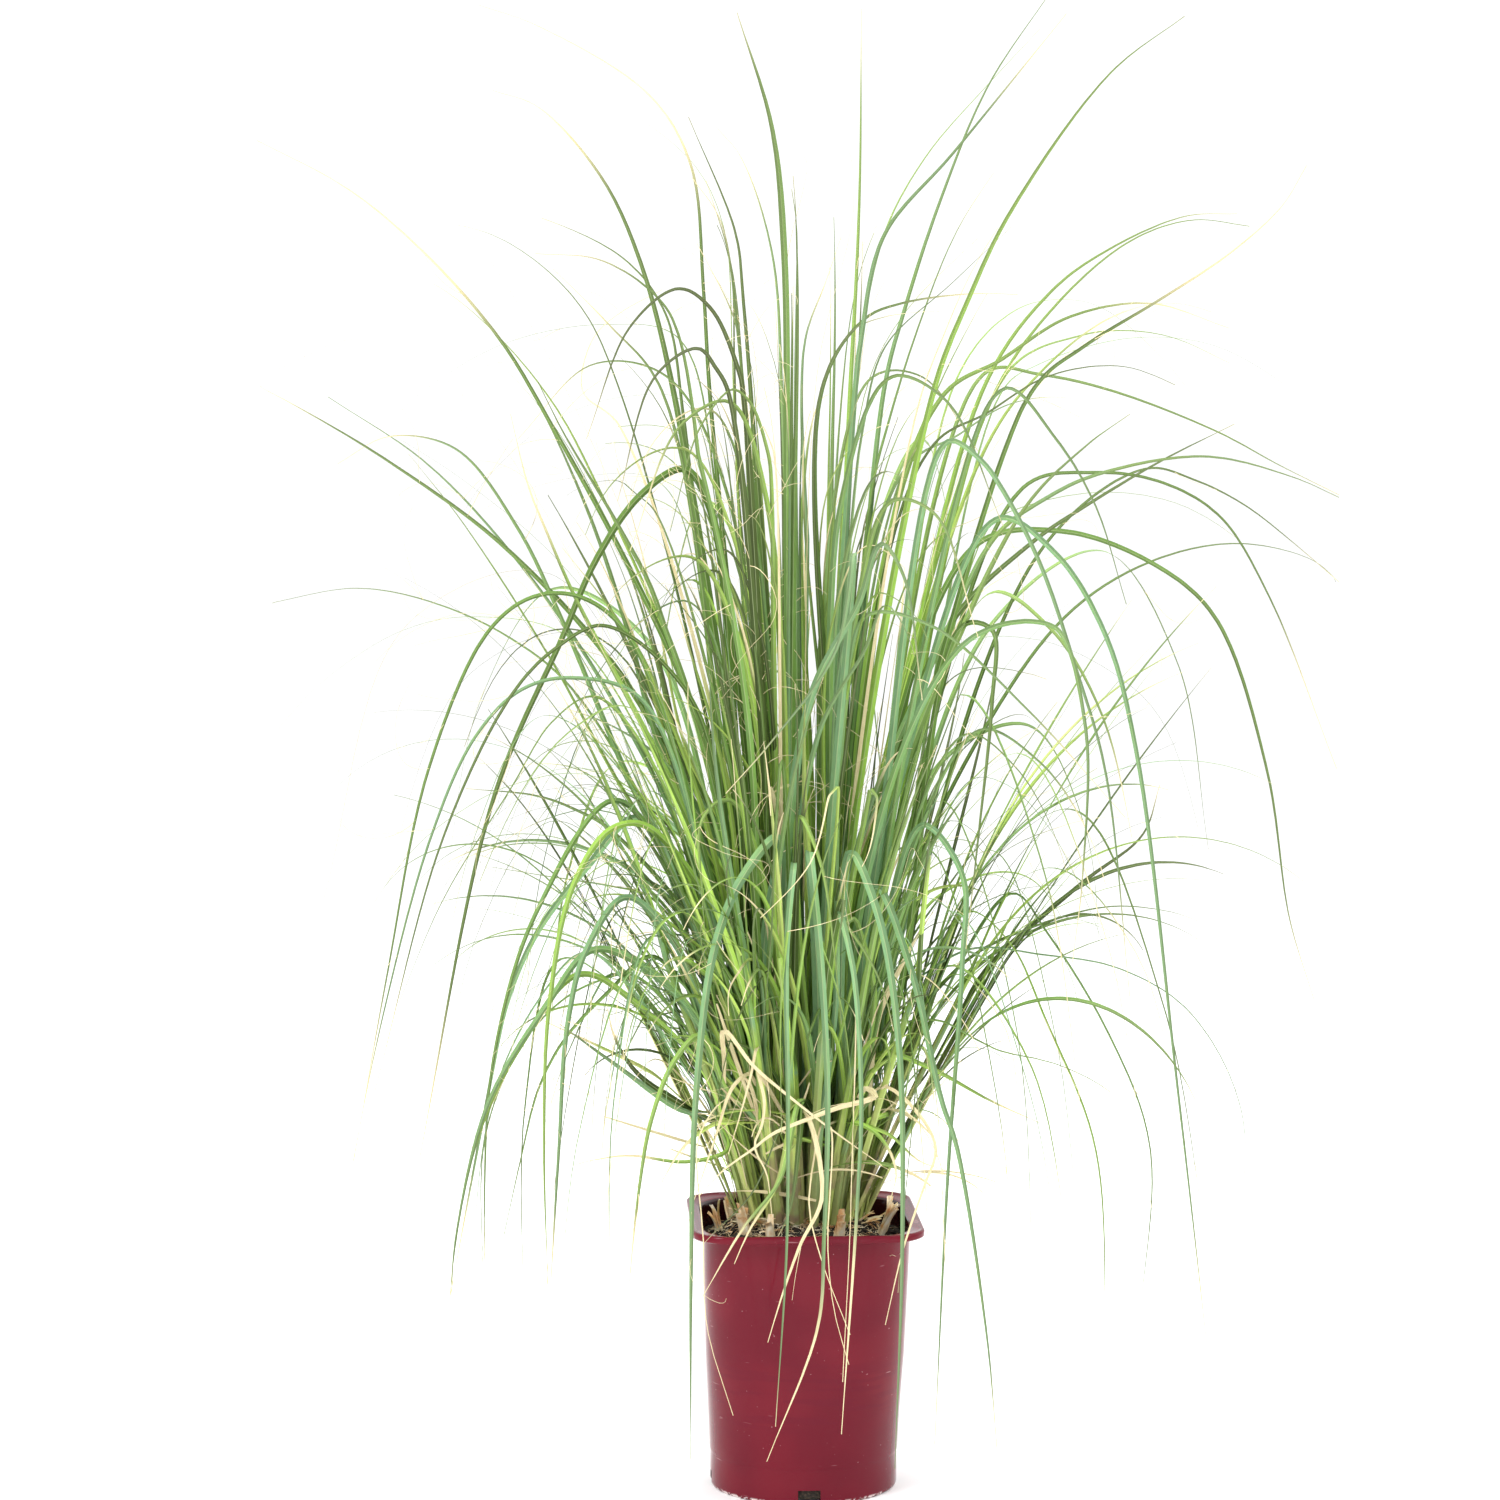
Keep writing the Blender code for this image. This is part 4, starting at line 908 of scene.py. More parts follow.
# A sheath parts from one share of its tiller's height on, over another, which is shorter where the leaf is
# withered. It is wider than the tiller at its foot and narrows as it goes up.
SHEATH_PARTS, SHEATH_FADE = 0.8, 0.5
WITHERED, WITHERED_FADE = 0.4, 0.2
SHEATH_FLARE, SHEATH_NARROWS = 1.1, 0.25

# A leaf is folded at its foot, opens by so much up to a share of its length, and is never slimmer
FOOT_FOLD, FOLD_OPENS, OPEN_FROM = 0.95, 0.55, 0.5
LEAST_WIDTH, LEAF_SKIN = 0.6 * MM, 0.1 * MM

# Marks of growth: the share that a sheath takes up, its mean tone, how far that swings and how fast with
# the foot's place and the leaf's width, and the share from which and over which the leaf's own tone comes
SHEATH_SHARE = 0.2
SHEATH_TONE, TONE_SWING = 0.5, 0.42
PLACE_RATE, WIDTH_RATE = 7000, 9
TONE_TURNS = 0.14

# A leaf that leaves its tiller part way up starts as this share of its width and widens over this length
LEAVING_WIDTH, LEAVING_LENGTH = 0.25, 24 * MM

# How close the drawn sections of a broad and of a fine leaf stand, by length and by bend
BROAD_STEPS = (26 * MM, math.radians(5))
FINE_STEPS = (40 * MM, math.radians(8))


def leaf(strands, shoot, stem_offset, path, width, tone, dry, twist, broad=True, leaves_at=0, facing=0.0,
         tapers_from=SLIMMER_FROM):
    """A leaf to its tip: a folded sheath up the tiller from where it leaves it, then the blade itself."""
    across, face = shoot.frames(path, twist, facing)
    stem = shoot.stem(stem_offset)[leaves_at:]
    whole = within(np.vstack([stem, path]))
    across = np.vstack([np.repeat(across[:1], len(stem), axis=0), across])
    face = np.vstack([np.repeat(face[:1], len(stem), axis=0), face])
    skipped = leaves_at * shoot.rise / STEM_ROWS
    lengths = lengths_along(whole) + skipped
    blade_share = np.clip((lengths - shoot.rise) / (lengths[-1] - shoot.rise), 0, 1)
    fade = WITHERED_FADE if dry > WITHERED else SHEATH_FADE
    sheath = 1 - smoothstep((lengths - SHEATH_PARTS * shoot.rise) / (fade * shoot.rise))
    sheath_width = width * MM * SHEATH_FLARE
    if broad:
        sheath_width = shoot.girth * (SHEATH_FLARE - SHEATH_NARROWS * lengths / shoot.rise)
    wide = np.maximum(width * MM * taper(blade_share, tapers_from), LEAST_WIDTH)
    wide = wide + (np.maximum(sheath_width, wide) - wide) * sheath
    lift = wide / 2 * (FOOT_FOLD - FOLD_OPENS * smoothstep(blade_share / OPEN_FROM)) + LEAF_SKIN
    share = np.where(
        lengths < shoot.rise,
        SHEATH_SHARE * lengths / shoot.rise,
        SHEATH_SHARE + (1 - SHEATH_SHARE) * blade_share,
    )
    green = SHEATH_TONE + TONE_SWING * math.sin(shoot.foot.x * PLACE_RATE + width * WIDTH_RATE)
    tones = tone + (green - tone) * (1 - smoothstep((share - TONE_TURNS) / TONE_TURNS))
    if leaves_at:
        growing = smoothstep((lengths - skipped) / LEAVING_LENGTH)
        slimmed = LEAVING_WIDTH + (1 - LEAVING_WIDTH) * growing
        wide, lift = wide * slimmed, lift * slimmed
    picks = drawn_points(whole, *(BROAD_STEPS if broad else FINE_STEPS))
    strands.add(
        whole[picks], across[picks], face[picks], wide[picks] / 2, lift[picks],
        BROAD_SECTION if broad else FINE_SECTION, share[picks], tones[picks], min(dry, ALL_DRY),
    )


def first_match(table, name):
    """What a table holds for the first of its keys that a name starts with."""
    return next(value for start, value in table.items() if name.startswith(start))


# A natural mix: up to which share of all blades, within which distance in mm, tones and how dry tips are
TONE_MIX = (
    (0.03, 99, (STRAW, 0.95), (0.6, 1.0)),
    (0.22, 50, (0.74, 0.88), (0.05, 0.3)),
    (0.38, 99, (0.0, 0.22), (0.02, 0.12)),
    (0.70, 99, (0.54, 0.76), (0.02, 0.2)),
    (1.00, 99, (0.24, 0.54), (0.02, 0.2)),
)


def random_tone(chance, distance):
    """The tone of one blade out of a natural mix, and how dry its tip is."""
    pick = chance.random()
    for most, reach, tones, dryness in TONE_MIX:
        if pick < most and distance < reach:
            return chance.uniform(*tones), chance.uniform(*dryness)


def random_twist(chance):
    """A twist to one hand or the other."""
    return chance.uniform(-1, 1) * TWIST


def any_way(chance, spread):
    """A random direction and length."""
    return Vector((chance.gauss(0, spread), chance.gauss(0, spread), chance.gauss(0, spread)))


# A crowd leaf: how far from its traced blade it stands in mm, how it turns, reaches, rises and droops, over
# what length it comes free, and how much of it is kept. A blade is tall from a height in metres on.
CROWD_ASIDE, CROWD_OUTWARD = 2.5, 4.5
CROWD_TURN = 0.2
CROWD_REACH = (0.72, 1.06)
CROWD_TALL = 0.85
TALL_RISE, SHORT_RISE = (0.8, 1.02), (0.66, 1.0)
TALL_KEPT, SHORT_KEPT = (0.75, 1.0), (0.45, 0.9)
CROWD_FREED = 260 * MM
CROWD_DROOP = 45
LEAST_POINTS, LEAST_KEPT = 14, 0.55
FREED_CLOSES, DROOP_POWER = 0.5, 3

# Leaves: the dryness from which they are slim and how wide in mm they then are at most, the width in mm
# from which they are broad, the rows of a tiller that they leave at, and the most that they face the eye
DRY_FROM, DRY_WIDTH = 0.5, 3.2
BROAD_FROM = 3
STEM_LEAVINGS = (3, 13)
MOST_FACING = 0.8


def crowd_leaf(strands, shoot, chance):
    """A blade that grows beside a traced one: the same course, turned, shortened and set a little apart."""
    index = chance.randrange(len(shoot.paths))
    base = shoot.paths[index]
    look = shoot.tones[index]
    if look and look[0] == STRAW:
        return False
    beside = shoot.beside(chance, CROWD_ASIDE, CROWD_OUTWARD)
    turn = chance.gauss(0, CROWD_TURN)
    tall = base[:, 2].max() > CROWD_TALL
    reach = chance.uniform(*CROWD_REACH)
    rise = chance.uniform(*(TALL_RISE if tall else SHORT_RISE))
    from_root = base - np.array(shoot.root)
    turned = np.column_stack([
        (from_root[:, 0] * math.cos(turn) - from_root[:, 1] * math.sin(turn)) * reach,
        (from_root[:, 0] * math.sin(turn) + from_root[:, 1] * math.cos(turn)) * reach,
        from_root[:, 2] * rise,
    ]) + np.array(shoot.root)
    freed = smoothstep(lengths_along(base) / CROWD_FREED)[:, None]
    path = spaced(base + (turned - base) * freed + np.array(beside) * (1 - FREED_CLOSES * freed), ROUTE_STEP)
    kept = chance.uniform(*(TALL_KEPT if tall else SHORT_KEPT))
    path = path[:max(LEAST_POINTS, int(len(path) * kept))]
    path[:, 2] -= chance.uniform(0, CROWD_DROOP) * MM * np.linspace(0, 1, len(path)) ** DROOP_POWER
    clear = cut_short(path)
    if len(clear) < max(LEAST_POINTS, LEAST_KEPT * len(path)):
        return False
    tone, dry = random_tone(chance, shoot.distance)
    width = chance.uniform(*CROWD_WIDTHS[shoot.distance])
    if dry > DRY_FROM:
        width = min(width, DRY_WIDTH)
    leaf(strands, shoot, beside, clear, width, tone, dry, random_twist(chance), broad=width > BROAD_FROM,
         leaves_at=chance.randint(*STEM_LEAVINGS), facing=chance.uniform(0, MOST_FACING))
    return True


# An arching course bows and veers more and more
ARC_LEAST_STEPS = 8
BOW_POWER = 1.4
VEER = 0.6
VEER_POWER = 1.5


def arc_path(start, direction, lean, bow, length, chance):
    """An arching course: it leaves at a lean from upright and bows over as it goes."""
    count = max(ARC_LEAST_STEPS, int(length / ROUTE_STEP))
    share = np.linspace(0, 1, count + 1)
    tilt = lean + bow * share ** BOW_POWER
    veer = direction + chance.uniform(-VEER, VEER) * share ** VEER_POWER
    step = length / count
    moves = np.column_stack([np.sin(tilt) * np.cos(veer), np.sin(tilt) * np.sin(veer), np.cos(tilt)]) * step
    return np.array(start) + np.vstack([[0, 0, 0], np.cumsum(moves[:-1], axis=0)])


# Low leaves: lengths and widths in mm, angles in radians
LOW_ASIDE, LOW_OUTWARD = 2, 4
LOW_TURN = 0.45
LOW_LENGTH = (110, 420)
LOW_LEAN = (0.15, 0.6)
LOW_BOW = (0.7, 2.3)
LOW_WIDTH = (1.6, 6.0)
LOW_LEAST = 80 * MM


def low_leaf(strands, shoot, chance):
    """A short leaf low on a tiller, arching out to its own side."""
    direction = shoot.course + chance.gauss(0, LOW_TURN)
    beside = shoot.beside(chance, LOW_ASIDE, LOW_OUTWARD)
    length = chance.uniform(*LOW_LENGTH) * MM
    lean, bow = chance.uniform(*LOW_LEAN), chance.uniform(*LOW_BOW)
    path = cut_short(arc_path(shoot.top + beside, direction, lean, bow, length, chance))
    if len(path) * ROUTE_STEP < LOW_LEAST:
        return False
    tone, dry = random_tone(chance, shoot.distance)
    width = chance.uniform(*LOW_WIDTH)
    leaf(strands, shoot, beside, path, width, tone, dry, random_twist(chance), broad=width > BROAD_FROM,
         leaves_at=chance.randint(*STEM_LEAVINGS))
    return True


# Dead leaves: where they leave a tiller as a share of its height, lengths and half widths in mm, and looks
DEAD_LEAVING = (0.3, 1.25)
DEAD_LEAN = (0.2, 1.4)
DEAD_BOW = (-0.6, 1.5)
DEAD_LENGTH = (45, 135)
DEAD_HALVES = (0.5, 0.7, 0.9, 1.3, 1.9)
DEAD_OUT, DEAD_TURN = 3, 1.0
DEAD_FOLD = 0.6
DEAD_LEAST = 7
DEAD_MARK = 0.3
BELLY_LEAST, BELLY_FROM, BELLY_OVER = 0.35, 0.15, 0.83
DEAD_SHARE = 0.7
DEAD_TONES, FADING_TONES = (0.9, 1.0), (0.5, 0.85)
FADING_DRY = 0.25


def dead_leaf(strands, shoot, chance):
    """A short withered leaf that leaves a tiller low down, at any angle."""
    start = shoot.foot.lerp(shoot.top, chance.uniform(*DEAD_LEAVING)) + shoot.outward * DEAD_OUT * MM
    direction = shoot.course + chance.gauss(0, DEAD_TURN)
    lean, bow = chance.uniform(*DEAD_LEAN), chance.uniform(*DEAD_BOW)
    path = arc_path(start, direction, lean, bow, chance.uniform(*DEAD_LENGTH) * MM, chance)
    over_rim = path[:, 2] > RIM_TOP
    path = path[:len(path) if over_rim.all() else int(over_rim.argmin())]
    if len(path) < DEAD_LEAST:
        return False
    across, face = shoot.frames(path, chance.uniform(-1, 1), chance.uniform(0, MOST_FACING))
    along = np.linspace(0, 1, len(path))
    belly = BELLY_LEAST + (1 - BELLY_LEAST) * np.sin(math.pi * (BELLY_FROM + BELLY_OVER * along))
    half = chance.choice(DEAD_HALVES) * MM * belly
    withered = chance.random() < DEAD_SHARE
    tone = chance.uniform(*(DEAD_TONES if withered else FADING_TONES))
    strands.add(path, across, face, half, half * DEAD_FOLD + LEAF_SKIN, FINE_SECTION,
                DEAD_MARK + (1 - DEAD_MARK) * along, tone, ALL_DRY if withered else FADING_DRY)
    return True


# Offshoots: lengths in mm, and leans as so much out for so much up
OFFSHOOT_REACH = 62
OFFSHOOT_RISE = (70, 230)
OFFSHOOT_GIRTH = (4.6, 7.6)
OFFSHOOT_LEAN, LEAN_BY_REACH, LEAN_SPREAD = 0.05, 0.40, 0.09
OFFSHOOT_ASIDE = 0.12
OFFSHOOT_LEAVES = (2, 3, 3, 4)
OFFSHOOT_APART = 1.6
OFFSHOOT_TURN = 0.3
OFFSHOOT_TILT = (-0.05, 0.1)
OFFSHOOT_BOWS = (0.15, 0.3, 0.5, 0.9, 1.5, 2.1)
OFFSHOOT_WIDTH = (2.4, 6.4)
OFFSHOOT_LEAST = 70 * MM
OFFSHOOT_LEAVINGS = (0, 9)


def offshoot(gathered, shoots, distance, degrees, chance):
    """A slim tiller that stands between the traced ones, with a few leaves of its own."""
    tiller = Shoot("offshoot", distance, degrees, ())
    nearest_shoot = min(shoots, key=lambda shoot: (shoot.root - tiller.root).length)
    tiller.rise = chance.uniform(*OFFSHOOT_RISE) * MM
    tiller.girth = chance.uniform(*OFFSHOOT_GIRTH) * MM
    lean = OFFSHOOT_LEAN + LEAN_BY_REACH * distance / OFFSHOOT_REACH + chance.gauss(0, LEAN_SPREAD)
    aside = chance.gauss(0, OFFSHOOT_ASIDE)
    tiller.top = tiller.foot + (UP + tiller.outward * lean + tiller.side * aside) * tiller.rise
    course = tiller.course + math.atan2(aside, max(lean, 0.1))
    for number in range(chance.choice(OFFSHOOT_LEAVES)):
        offset = tiller.outward * (number - 1) * OFFSHOOT_APART * MM
        direction = course + chance.gauss(0, OFFSHOOT_TURN)
        length = chance.uniform(*LOW_LENGTH) * MM
        tilt = math.atan(lean) + chance.uniform(*OFFSHOOT_TILT)
        bow = chance.choice(OFFSHOOT_BOWS)
        path = cut_short(arc_path(tiller.top + offset, direction, tilt, bow, length, chance))
        if len(path) * ROUTE_STEP > OFFSHOOT_LEAST:
            tone, dry = random_tone(chance, distance)
            width, twist = chance.uniform(*OFFSHOOT_WIDTH), random_twist(chance)
            leaving = 0 if number == 1 else chance.randint(*OFFSHOOT_LEAVINGS)
            strands = gathered[nearest_shoot.name]
            leaf(strands, tiller, offset, path, width, tone, dry, twist, leaves_at=leaving)


# Fine arcs, in mm on the eye's plane: where they start, the top of the arch, the tip, and the bulge between
ARC_START, ARC_START_UP = (52, 74), 350
ARC_TOP, ARC_TOP_UP = (110, 250), (410, 660)
ARC_TIP_OUT, ARC_FALL = (25, 120), (190, 430)
ARC_SHOULDER, ARC_SHOULDER_UP = 0.68, 0.92
ARC_BULGE, ARC_BULGE_UP = 14, 40
ARC_DEPTH = (-170, 60)
ARC_WIDTH = (1.3, 2.6)
ARC_TONE = (0.05, 0.6)
ARC_DRY = (0.1, 0.4)
LOOSE_TWIST = 0.3
LOOSE_LEAVING = 10


def fine_arc(strands, shoot, hand, chance):
    """A thin blade that rises to one side, bows over and falls past the pot."""
    beside = shoot.aside(chance)
    top_across, top_up = chance.uniform(*ARC_TOP), chance.uniform(*ARC_TOP_UP)
    tip_across, tip_up = top_across + chance.uniform(*ARC_TIP_OUT), top_up - chance.uniform(*ARC_FALL)
    route = (
        (hand * chance.uniform(*ARC_START), ARC_START_UP),
        (hand * top_across * ARC_SHOULDER, top_up * ARC_SHOULDER_UP),
        (hand * top_across, top_up),
        (hand * ((top_across + tip_across) / 2 + ARC_BULGE), (top_up + tip_up) / 2 + ARC_BULGE_UP),
        (hand * tip_across, tip_up),
    )
    path = cut_short(route_path(shoot.top + beside, chance.uniform(*ARC_DEPTH), route))
    width = chance.uniform(*ARC_WIDTH)
    tone, dry = chance.uniform(*ARC_TONE), chance.uniform(*ARC_DRY)
    leaf(strands, shoot, beside, path, width, tone, dry, LOOSE_TWIST, broad=False, leaves_at=LOOSE_LEAVING)


# Curls: the step from point to point, the bend at each, how its axis wanders, and how they sag
CURL_STEP = 7
CURL_LEAST_STEPS = 7
CURL_BEND = (0.02, 0.3)
CURL_WANDER = 0.25
CURL_SAG = Vector((0, 0, -0.03))
CURL_WIDTH = (0.45, 0.9)
CURL_LEAST = 5


def curl(strands, start, heading, chance, length):
    """A dry, curly thread that springs from a blade."""
    direction = Vector(heading).normalized()
    axis = any_way(chance, 1).normalized()
    bend = chance.uniform(*CURL_BEND)
    points = [Vector(start)]
    for _ in range(max(CURL_LEAST_STEPS, int(length / (CURL_STEP * MM)))):
        axis = (axis + any_way(chance, CURL_WANDER)).normalized()
        direction = (Quaternion(axis, bend) @ direction + CURL_SAG).normalized()
        points.append(points[-1] + direction * CURL_STEP * MM)
    path = cut_short(np.array(points))
    if len(path) >= CURL_LEAST:
        thread(strands, path, chance.uniform(*CURL_WIDTH) * MM, chance.uniform(*DEAD_TONES), 1.0)


# Threads: a direction that none of them runs along, their mark at the start, and how they slim
THREAD_SIDE = np.array([0.31, 0.17, 0.94])
THREAD_MARK = 0.2
THREAD_SLIMS = 0.75
THREAD_LEAST = 0.3 * MM


def thread(strands, path, width, tone, dry):
    """A thin three-sided strand."""
    tangents = np.gradient(path, axis=0)
    tangents /= np.maximum(np.linalg.norm(tangents, axis=1), 1e-9)[:, None]
    across = np.cross(tangents, THREAD_SIDE)
    across /= np.maximum(np.linalg.norm(across, axis=1), 1e-9)[:, None]
    face = np.cross(tangents, across)
    share = np.linspace(THREAD_MARK, 1, len(path))
    half = np.maximum(width * (1 - THREAD_SLIMS * share), THREAD_LEAST) / 2
    strands.add(path, across, face, half, half, THREAD_SECTION, share, tone, dry)


# Finishes

# Between these lie most of a noise's values
NOISE_SPREAD = (0.3, 0.7)


class Finish:
    """A material and the nodes of its pattern."""

    def __init__(self, name):
        self.made = bpy.data.materials.new(name)
        self.made.use_nodes = True
        self.tree = self.made.node_tree
        self.shader = self.tree.nodes["Principled BSDF"]
        self.space = self.node("ShaderNodeTexCoord").outputs["Object"]

    def node(self, kind):
        """A new node."""
        return self.tree.nodes.new(kind)

    def feed(self, socket, value):
        """Join a socket to another, or set it to a number or a colour."""
        if isinstance(value, bpy.types.NodeSocket):
            self.tree.links.new(value, socket)
        elif isinstance(value, tuple):
            socket.default_value = (*value, 1)
        else:
            socket.default_value = value

    def surface(self, name, value):
        """Feed one of the shader's sockets."""
        self.feed(self.shader.inputs[name], value)

    def mixed(self, kind, factor, first, second):
        """A colour mix of two sockets or colours."""
        mix = self.node("ShaderNodeMix")
        mix.data_type = "RGBA"
        mix.blend_type = kind
        for socket, value in ((mix.inputs[0], factor), (mix.inputs[6], first), (mix.inputs[7], second)):
            self.feed(socket, value)
        return mix.outputs[2]

    def ranged(self, value, low, high, to_low=0.0, to_high=1.0):
        """A value brought smoothly from one range to another."""
        spread = self.node("ShaderNodeMapRange")
        spread.interpolation_type = "SMOOTHSTEP"
        self.feed(spread.inputs["Value"], value)
        for name, amount in (("From Min", low), ("From Max", high), ("To Min", to_low), ("To Max", to_high)):
            self.feed(spread.inputs[name], amount)
        return spread.outputs["Result"]

    def worked(self, kind, *values):
        """A calculation on one to three values."""
        step = self.node("ShaderNodeMath")
        step.operation = kind
        for socket, value in zip(step.inputs, values):
            self.feed(socket, value)
        return step.outputs[0]

    def times(self, first, second):
        """Two values multiplied."""
        return self.worked("MULTIPLY", first, second)

    def speckle(self, places, scale, detail, roughness, stretch=(1, 1, 1)):
        """A noise on places that may be stretched."""
        mapping = self.node("ShaderNodeMapping")
        mapping.inputs["Scale"].default_value = stretch
        self.feed(mapping.inputs["Vector"], places)
        grain = self.node("ShaderNodeTexNoise")
        for name, value in (("Scale", scale), ("Detail", detail), ("Roughness", roughness)):
            self.feed(grain.inputs[name], value)
        self.feed(grain.inputs["Vector"], mapping.outputs["Vector"])
        return grain.outputs["Fac"]

    def ramp(self, value, stops):
        """A colour ramp through these stops."""
        scale = self.node("ShaderNodeValToRGB")
        self.feed(scale.inputs["Fac"], value)
        while len(scale.color_ramp.elements) < len(stops):
            scale.color_ramp.elements.new(0.5)
        for element, (place, shade) in zip(scale.color_ramp.elements, stops):
            element.position = place
            element.color = (*shade, 1)
        return scale.outputs["Color"]

    def parted(self, kind, name, whole):
        """The three parts of a colour or of a place."""
        parts = self.node(kind)
        self.feed(parts.inputs[name], whole)
        return parts.outputs[:3]

    def raised(self, height, strength, distance):
        """Relief on the surface from a height."""
        bump = self.node("ShaderNodeBump")
        self.feed(bump.inputs["Strength"], strength)
        self.feed(bump.inputs["Distance"], distance)
        self.feed(bump.inputs["Height"], height)
        self.surface("Normal", bump.outputs["Normal"])


# Grass: the greens by tone, and what lies over them
GREENS = (
    (0.0, (0.055, 0.085, 0.017)),
    (0.22, (0.100, 0.190, 0.032)),
    (0.36, (0.180, 0.330, 0.075)),
    (0.45, (0.190, 0.350, 0.165)),
    (0.54, (0.250, 0.400, 0.095)),
    (0.68, (0.300, 0.510, 0.070)),
    (0.85, (0.540, 0.700, 0.160)),
    (0.97, (0.840, 0.740, 0.430)),
)
MIDRIB = (0.50, 0.58, 0.30)
PALE_FOOT = (0.48, 0.50, 0.18)
PURPLE_FOOT = (0.27, 0.17, 0.13)
GREYED = (0.130, 0.155, 0.070)
DRY_PALE, DRY_BROWN = (0.88, 0.80, 0.50), (0.60, 0.45, 0.23)
DRY_EDGE = 0.09
VEIN_RATE = 82.0


def grass_finish():
    """Blades and sheaths: veins, a pale midrib, a pale or purplish foot, a greyer outer part, a dry tip, and
    painted shade that darkens one half of each blade and lightens the other.
    """
    finish = Finish("grass blade")
    marks = finish.node("ShaderNodeAttribute")
    marks.attribute_name = "growth"
    share, tone, dry = finish.parted("ShaderNodeSeparateColor", "Color", marks.outputs["Color"])
    flat = finish.node("ShaderNodeUVMap")
    flat.uv_map = "blade"
    across, *_ = finish.parted("ShaderNodeSeparateXYZ", "Vector", flat.outputs["UV"])

    patches = finish.speckle(finish.space, 22, 3, 0.6)
    streaks = finish.speckle(flat.outputs["UV"], 6, 4, 0.6, (3, 1.2, 1))
    shifted = finish.worked("ADD", tone, finish.worked("MULTIPLY_ADD", patches, 0.16, -0.08))
    veins = finish.worked("SINE", finish.times(across, VEIN_RATE))
    vein_shade = finish.ranged(veins, -1, 1, 0.84, 1.14)
    streak_shade = finish.ranged(streaks, *NOISE_SPREAD, 0.86, 1.20)
    # Painted shade: one half of each blade darker and the other lighter, as the two sides of a folded blade
    # would be lit; it multiplies the greens with the vein and streak tones
    painted_fold_shade = finish.ranged(across, 0.46, 0.54, 0.74, 1.16)
    shade = finish.times(finish.times(vein_shade, painted_fold_shade), streak_shade)
    grey = finish.node("ShaderNodeCombineColor")
    for socket in grey.inputs:
        finish.feed(socket, shade)
    body = finish.mixed("MULTIPLY", 1.0, finish.ramp(shifted, GREENS), grey.outputs["Color"])

    from_rib = finish.worked("ABSOLUTE", finish.worked("SUBTRACT", across, 0.5))
    purple = finish.times(finish.ranged(share, 0.02, 0.16, 0.8, 0.0), finish.ranged(patches, 0.5, 0.62))
    dry_from = finish.worked("SUBTRACT", 1.02, dry)
    dried = finish.ranged(share, dry_from, finish.worked("ADD", dry_from, DRY_EDGE))
    straw = finish.mixed("MIX", finish.ranged(streaks, 0.35, 0.7), DRY_PALE, DRY_BROWN)
    for amount, over in (
        (finish.ranged(from_rib, 0.02, 0.08, 0.45, 0.0), MIDRIB),
        (finish.ranged(share, 0.05, 0.26, 0.55, 0.0), PALE_FOOT),
        (purple, PURPLE_FOOT),
        (finish.ranged(share, 0.5, 1.0, 0.0, 0.65), GREYED),
        (dried, straw),
    ):
        body = finish.mixed("MIX", amount, body, over)
    finish.surface("Base Color", body)
    finish.surface("Roughness", finish.ranged(streaks, *NOISE_SPREAD, 0.42, 0.62))
    finish.surface("Specular IOR Level", 0.2)
    finish.raised(veins, 0.35, 0.0002)
    return finish.made


# Dead sheaths, from brown to cream
STRAW_SHADES = (
    (0.28, (0.42, 0.20, 0.08)),
    (0.40, (0.78, 0.47, 0.22)),
    (0.50, (0.93, 0.75, 0.48)),
    (0.64, (0.96, 0.90, 0.72)),
)
STRAW_LINES = (0.55, 0.42, 0.30)


def straw_finish():
    """Papery dead sheaths, cut stubs and threads."""
    finish = Finish("dry straw")
    shade = finish.ramp(finish.speckle(finish.space, 90, 4, 0.6), STRAW_SHADES)
    streaks = finish.speckle(finish.space, 300, 3, 0.6, (1, 1, 0.12))
    lines = finish.ranged(streaks, *NOISE_SPREAD, 0.0, 0.3)
    finish.surface("Base Color", finish.mixed("MULTIPLY", lines, shade, STRAW_LINES))
    finish.surface("Roughness", 0.8)
    finish.raised(streaks, 0.5, 0.0004)
    return finish.made


# Pot plastic: two shades and scratches, outside and in, where the inside's are dark painted shade, then the
# marks that both have, with heights in metres
POT_OUTSIDE = ((0.153, 0.0085, 0.019), (0.127, 0.006, 0.016), (0.50, 0.26, 0.28))
POT_INSIDE_PAINTED_SHADE = ((0.024, 0.003, 0.004), (0.036, 0.005, 0.006), (0.10, 0.05, 0.04))
FLOW_LINES = (0.120, 0.006, 0.018)
FLOW_STARTS, FLOW_ENDS = (0.045, 0.075), (0.10, 0.13)
SCUFFS = (0.80, 0.68, 0.66)
SCUFF_HEIGHT = (0.0012, 0.0035)


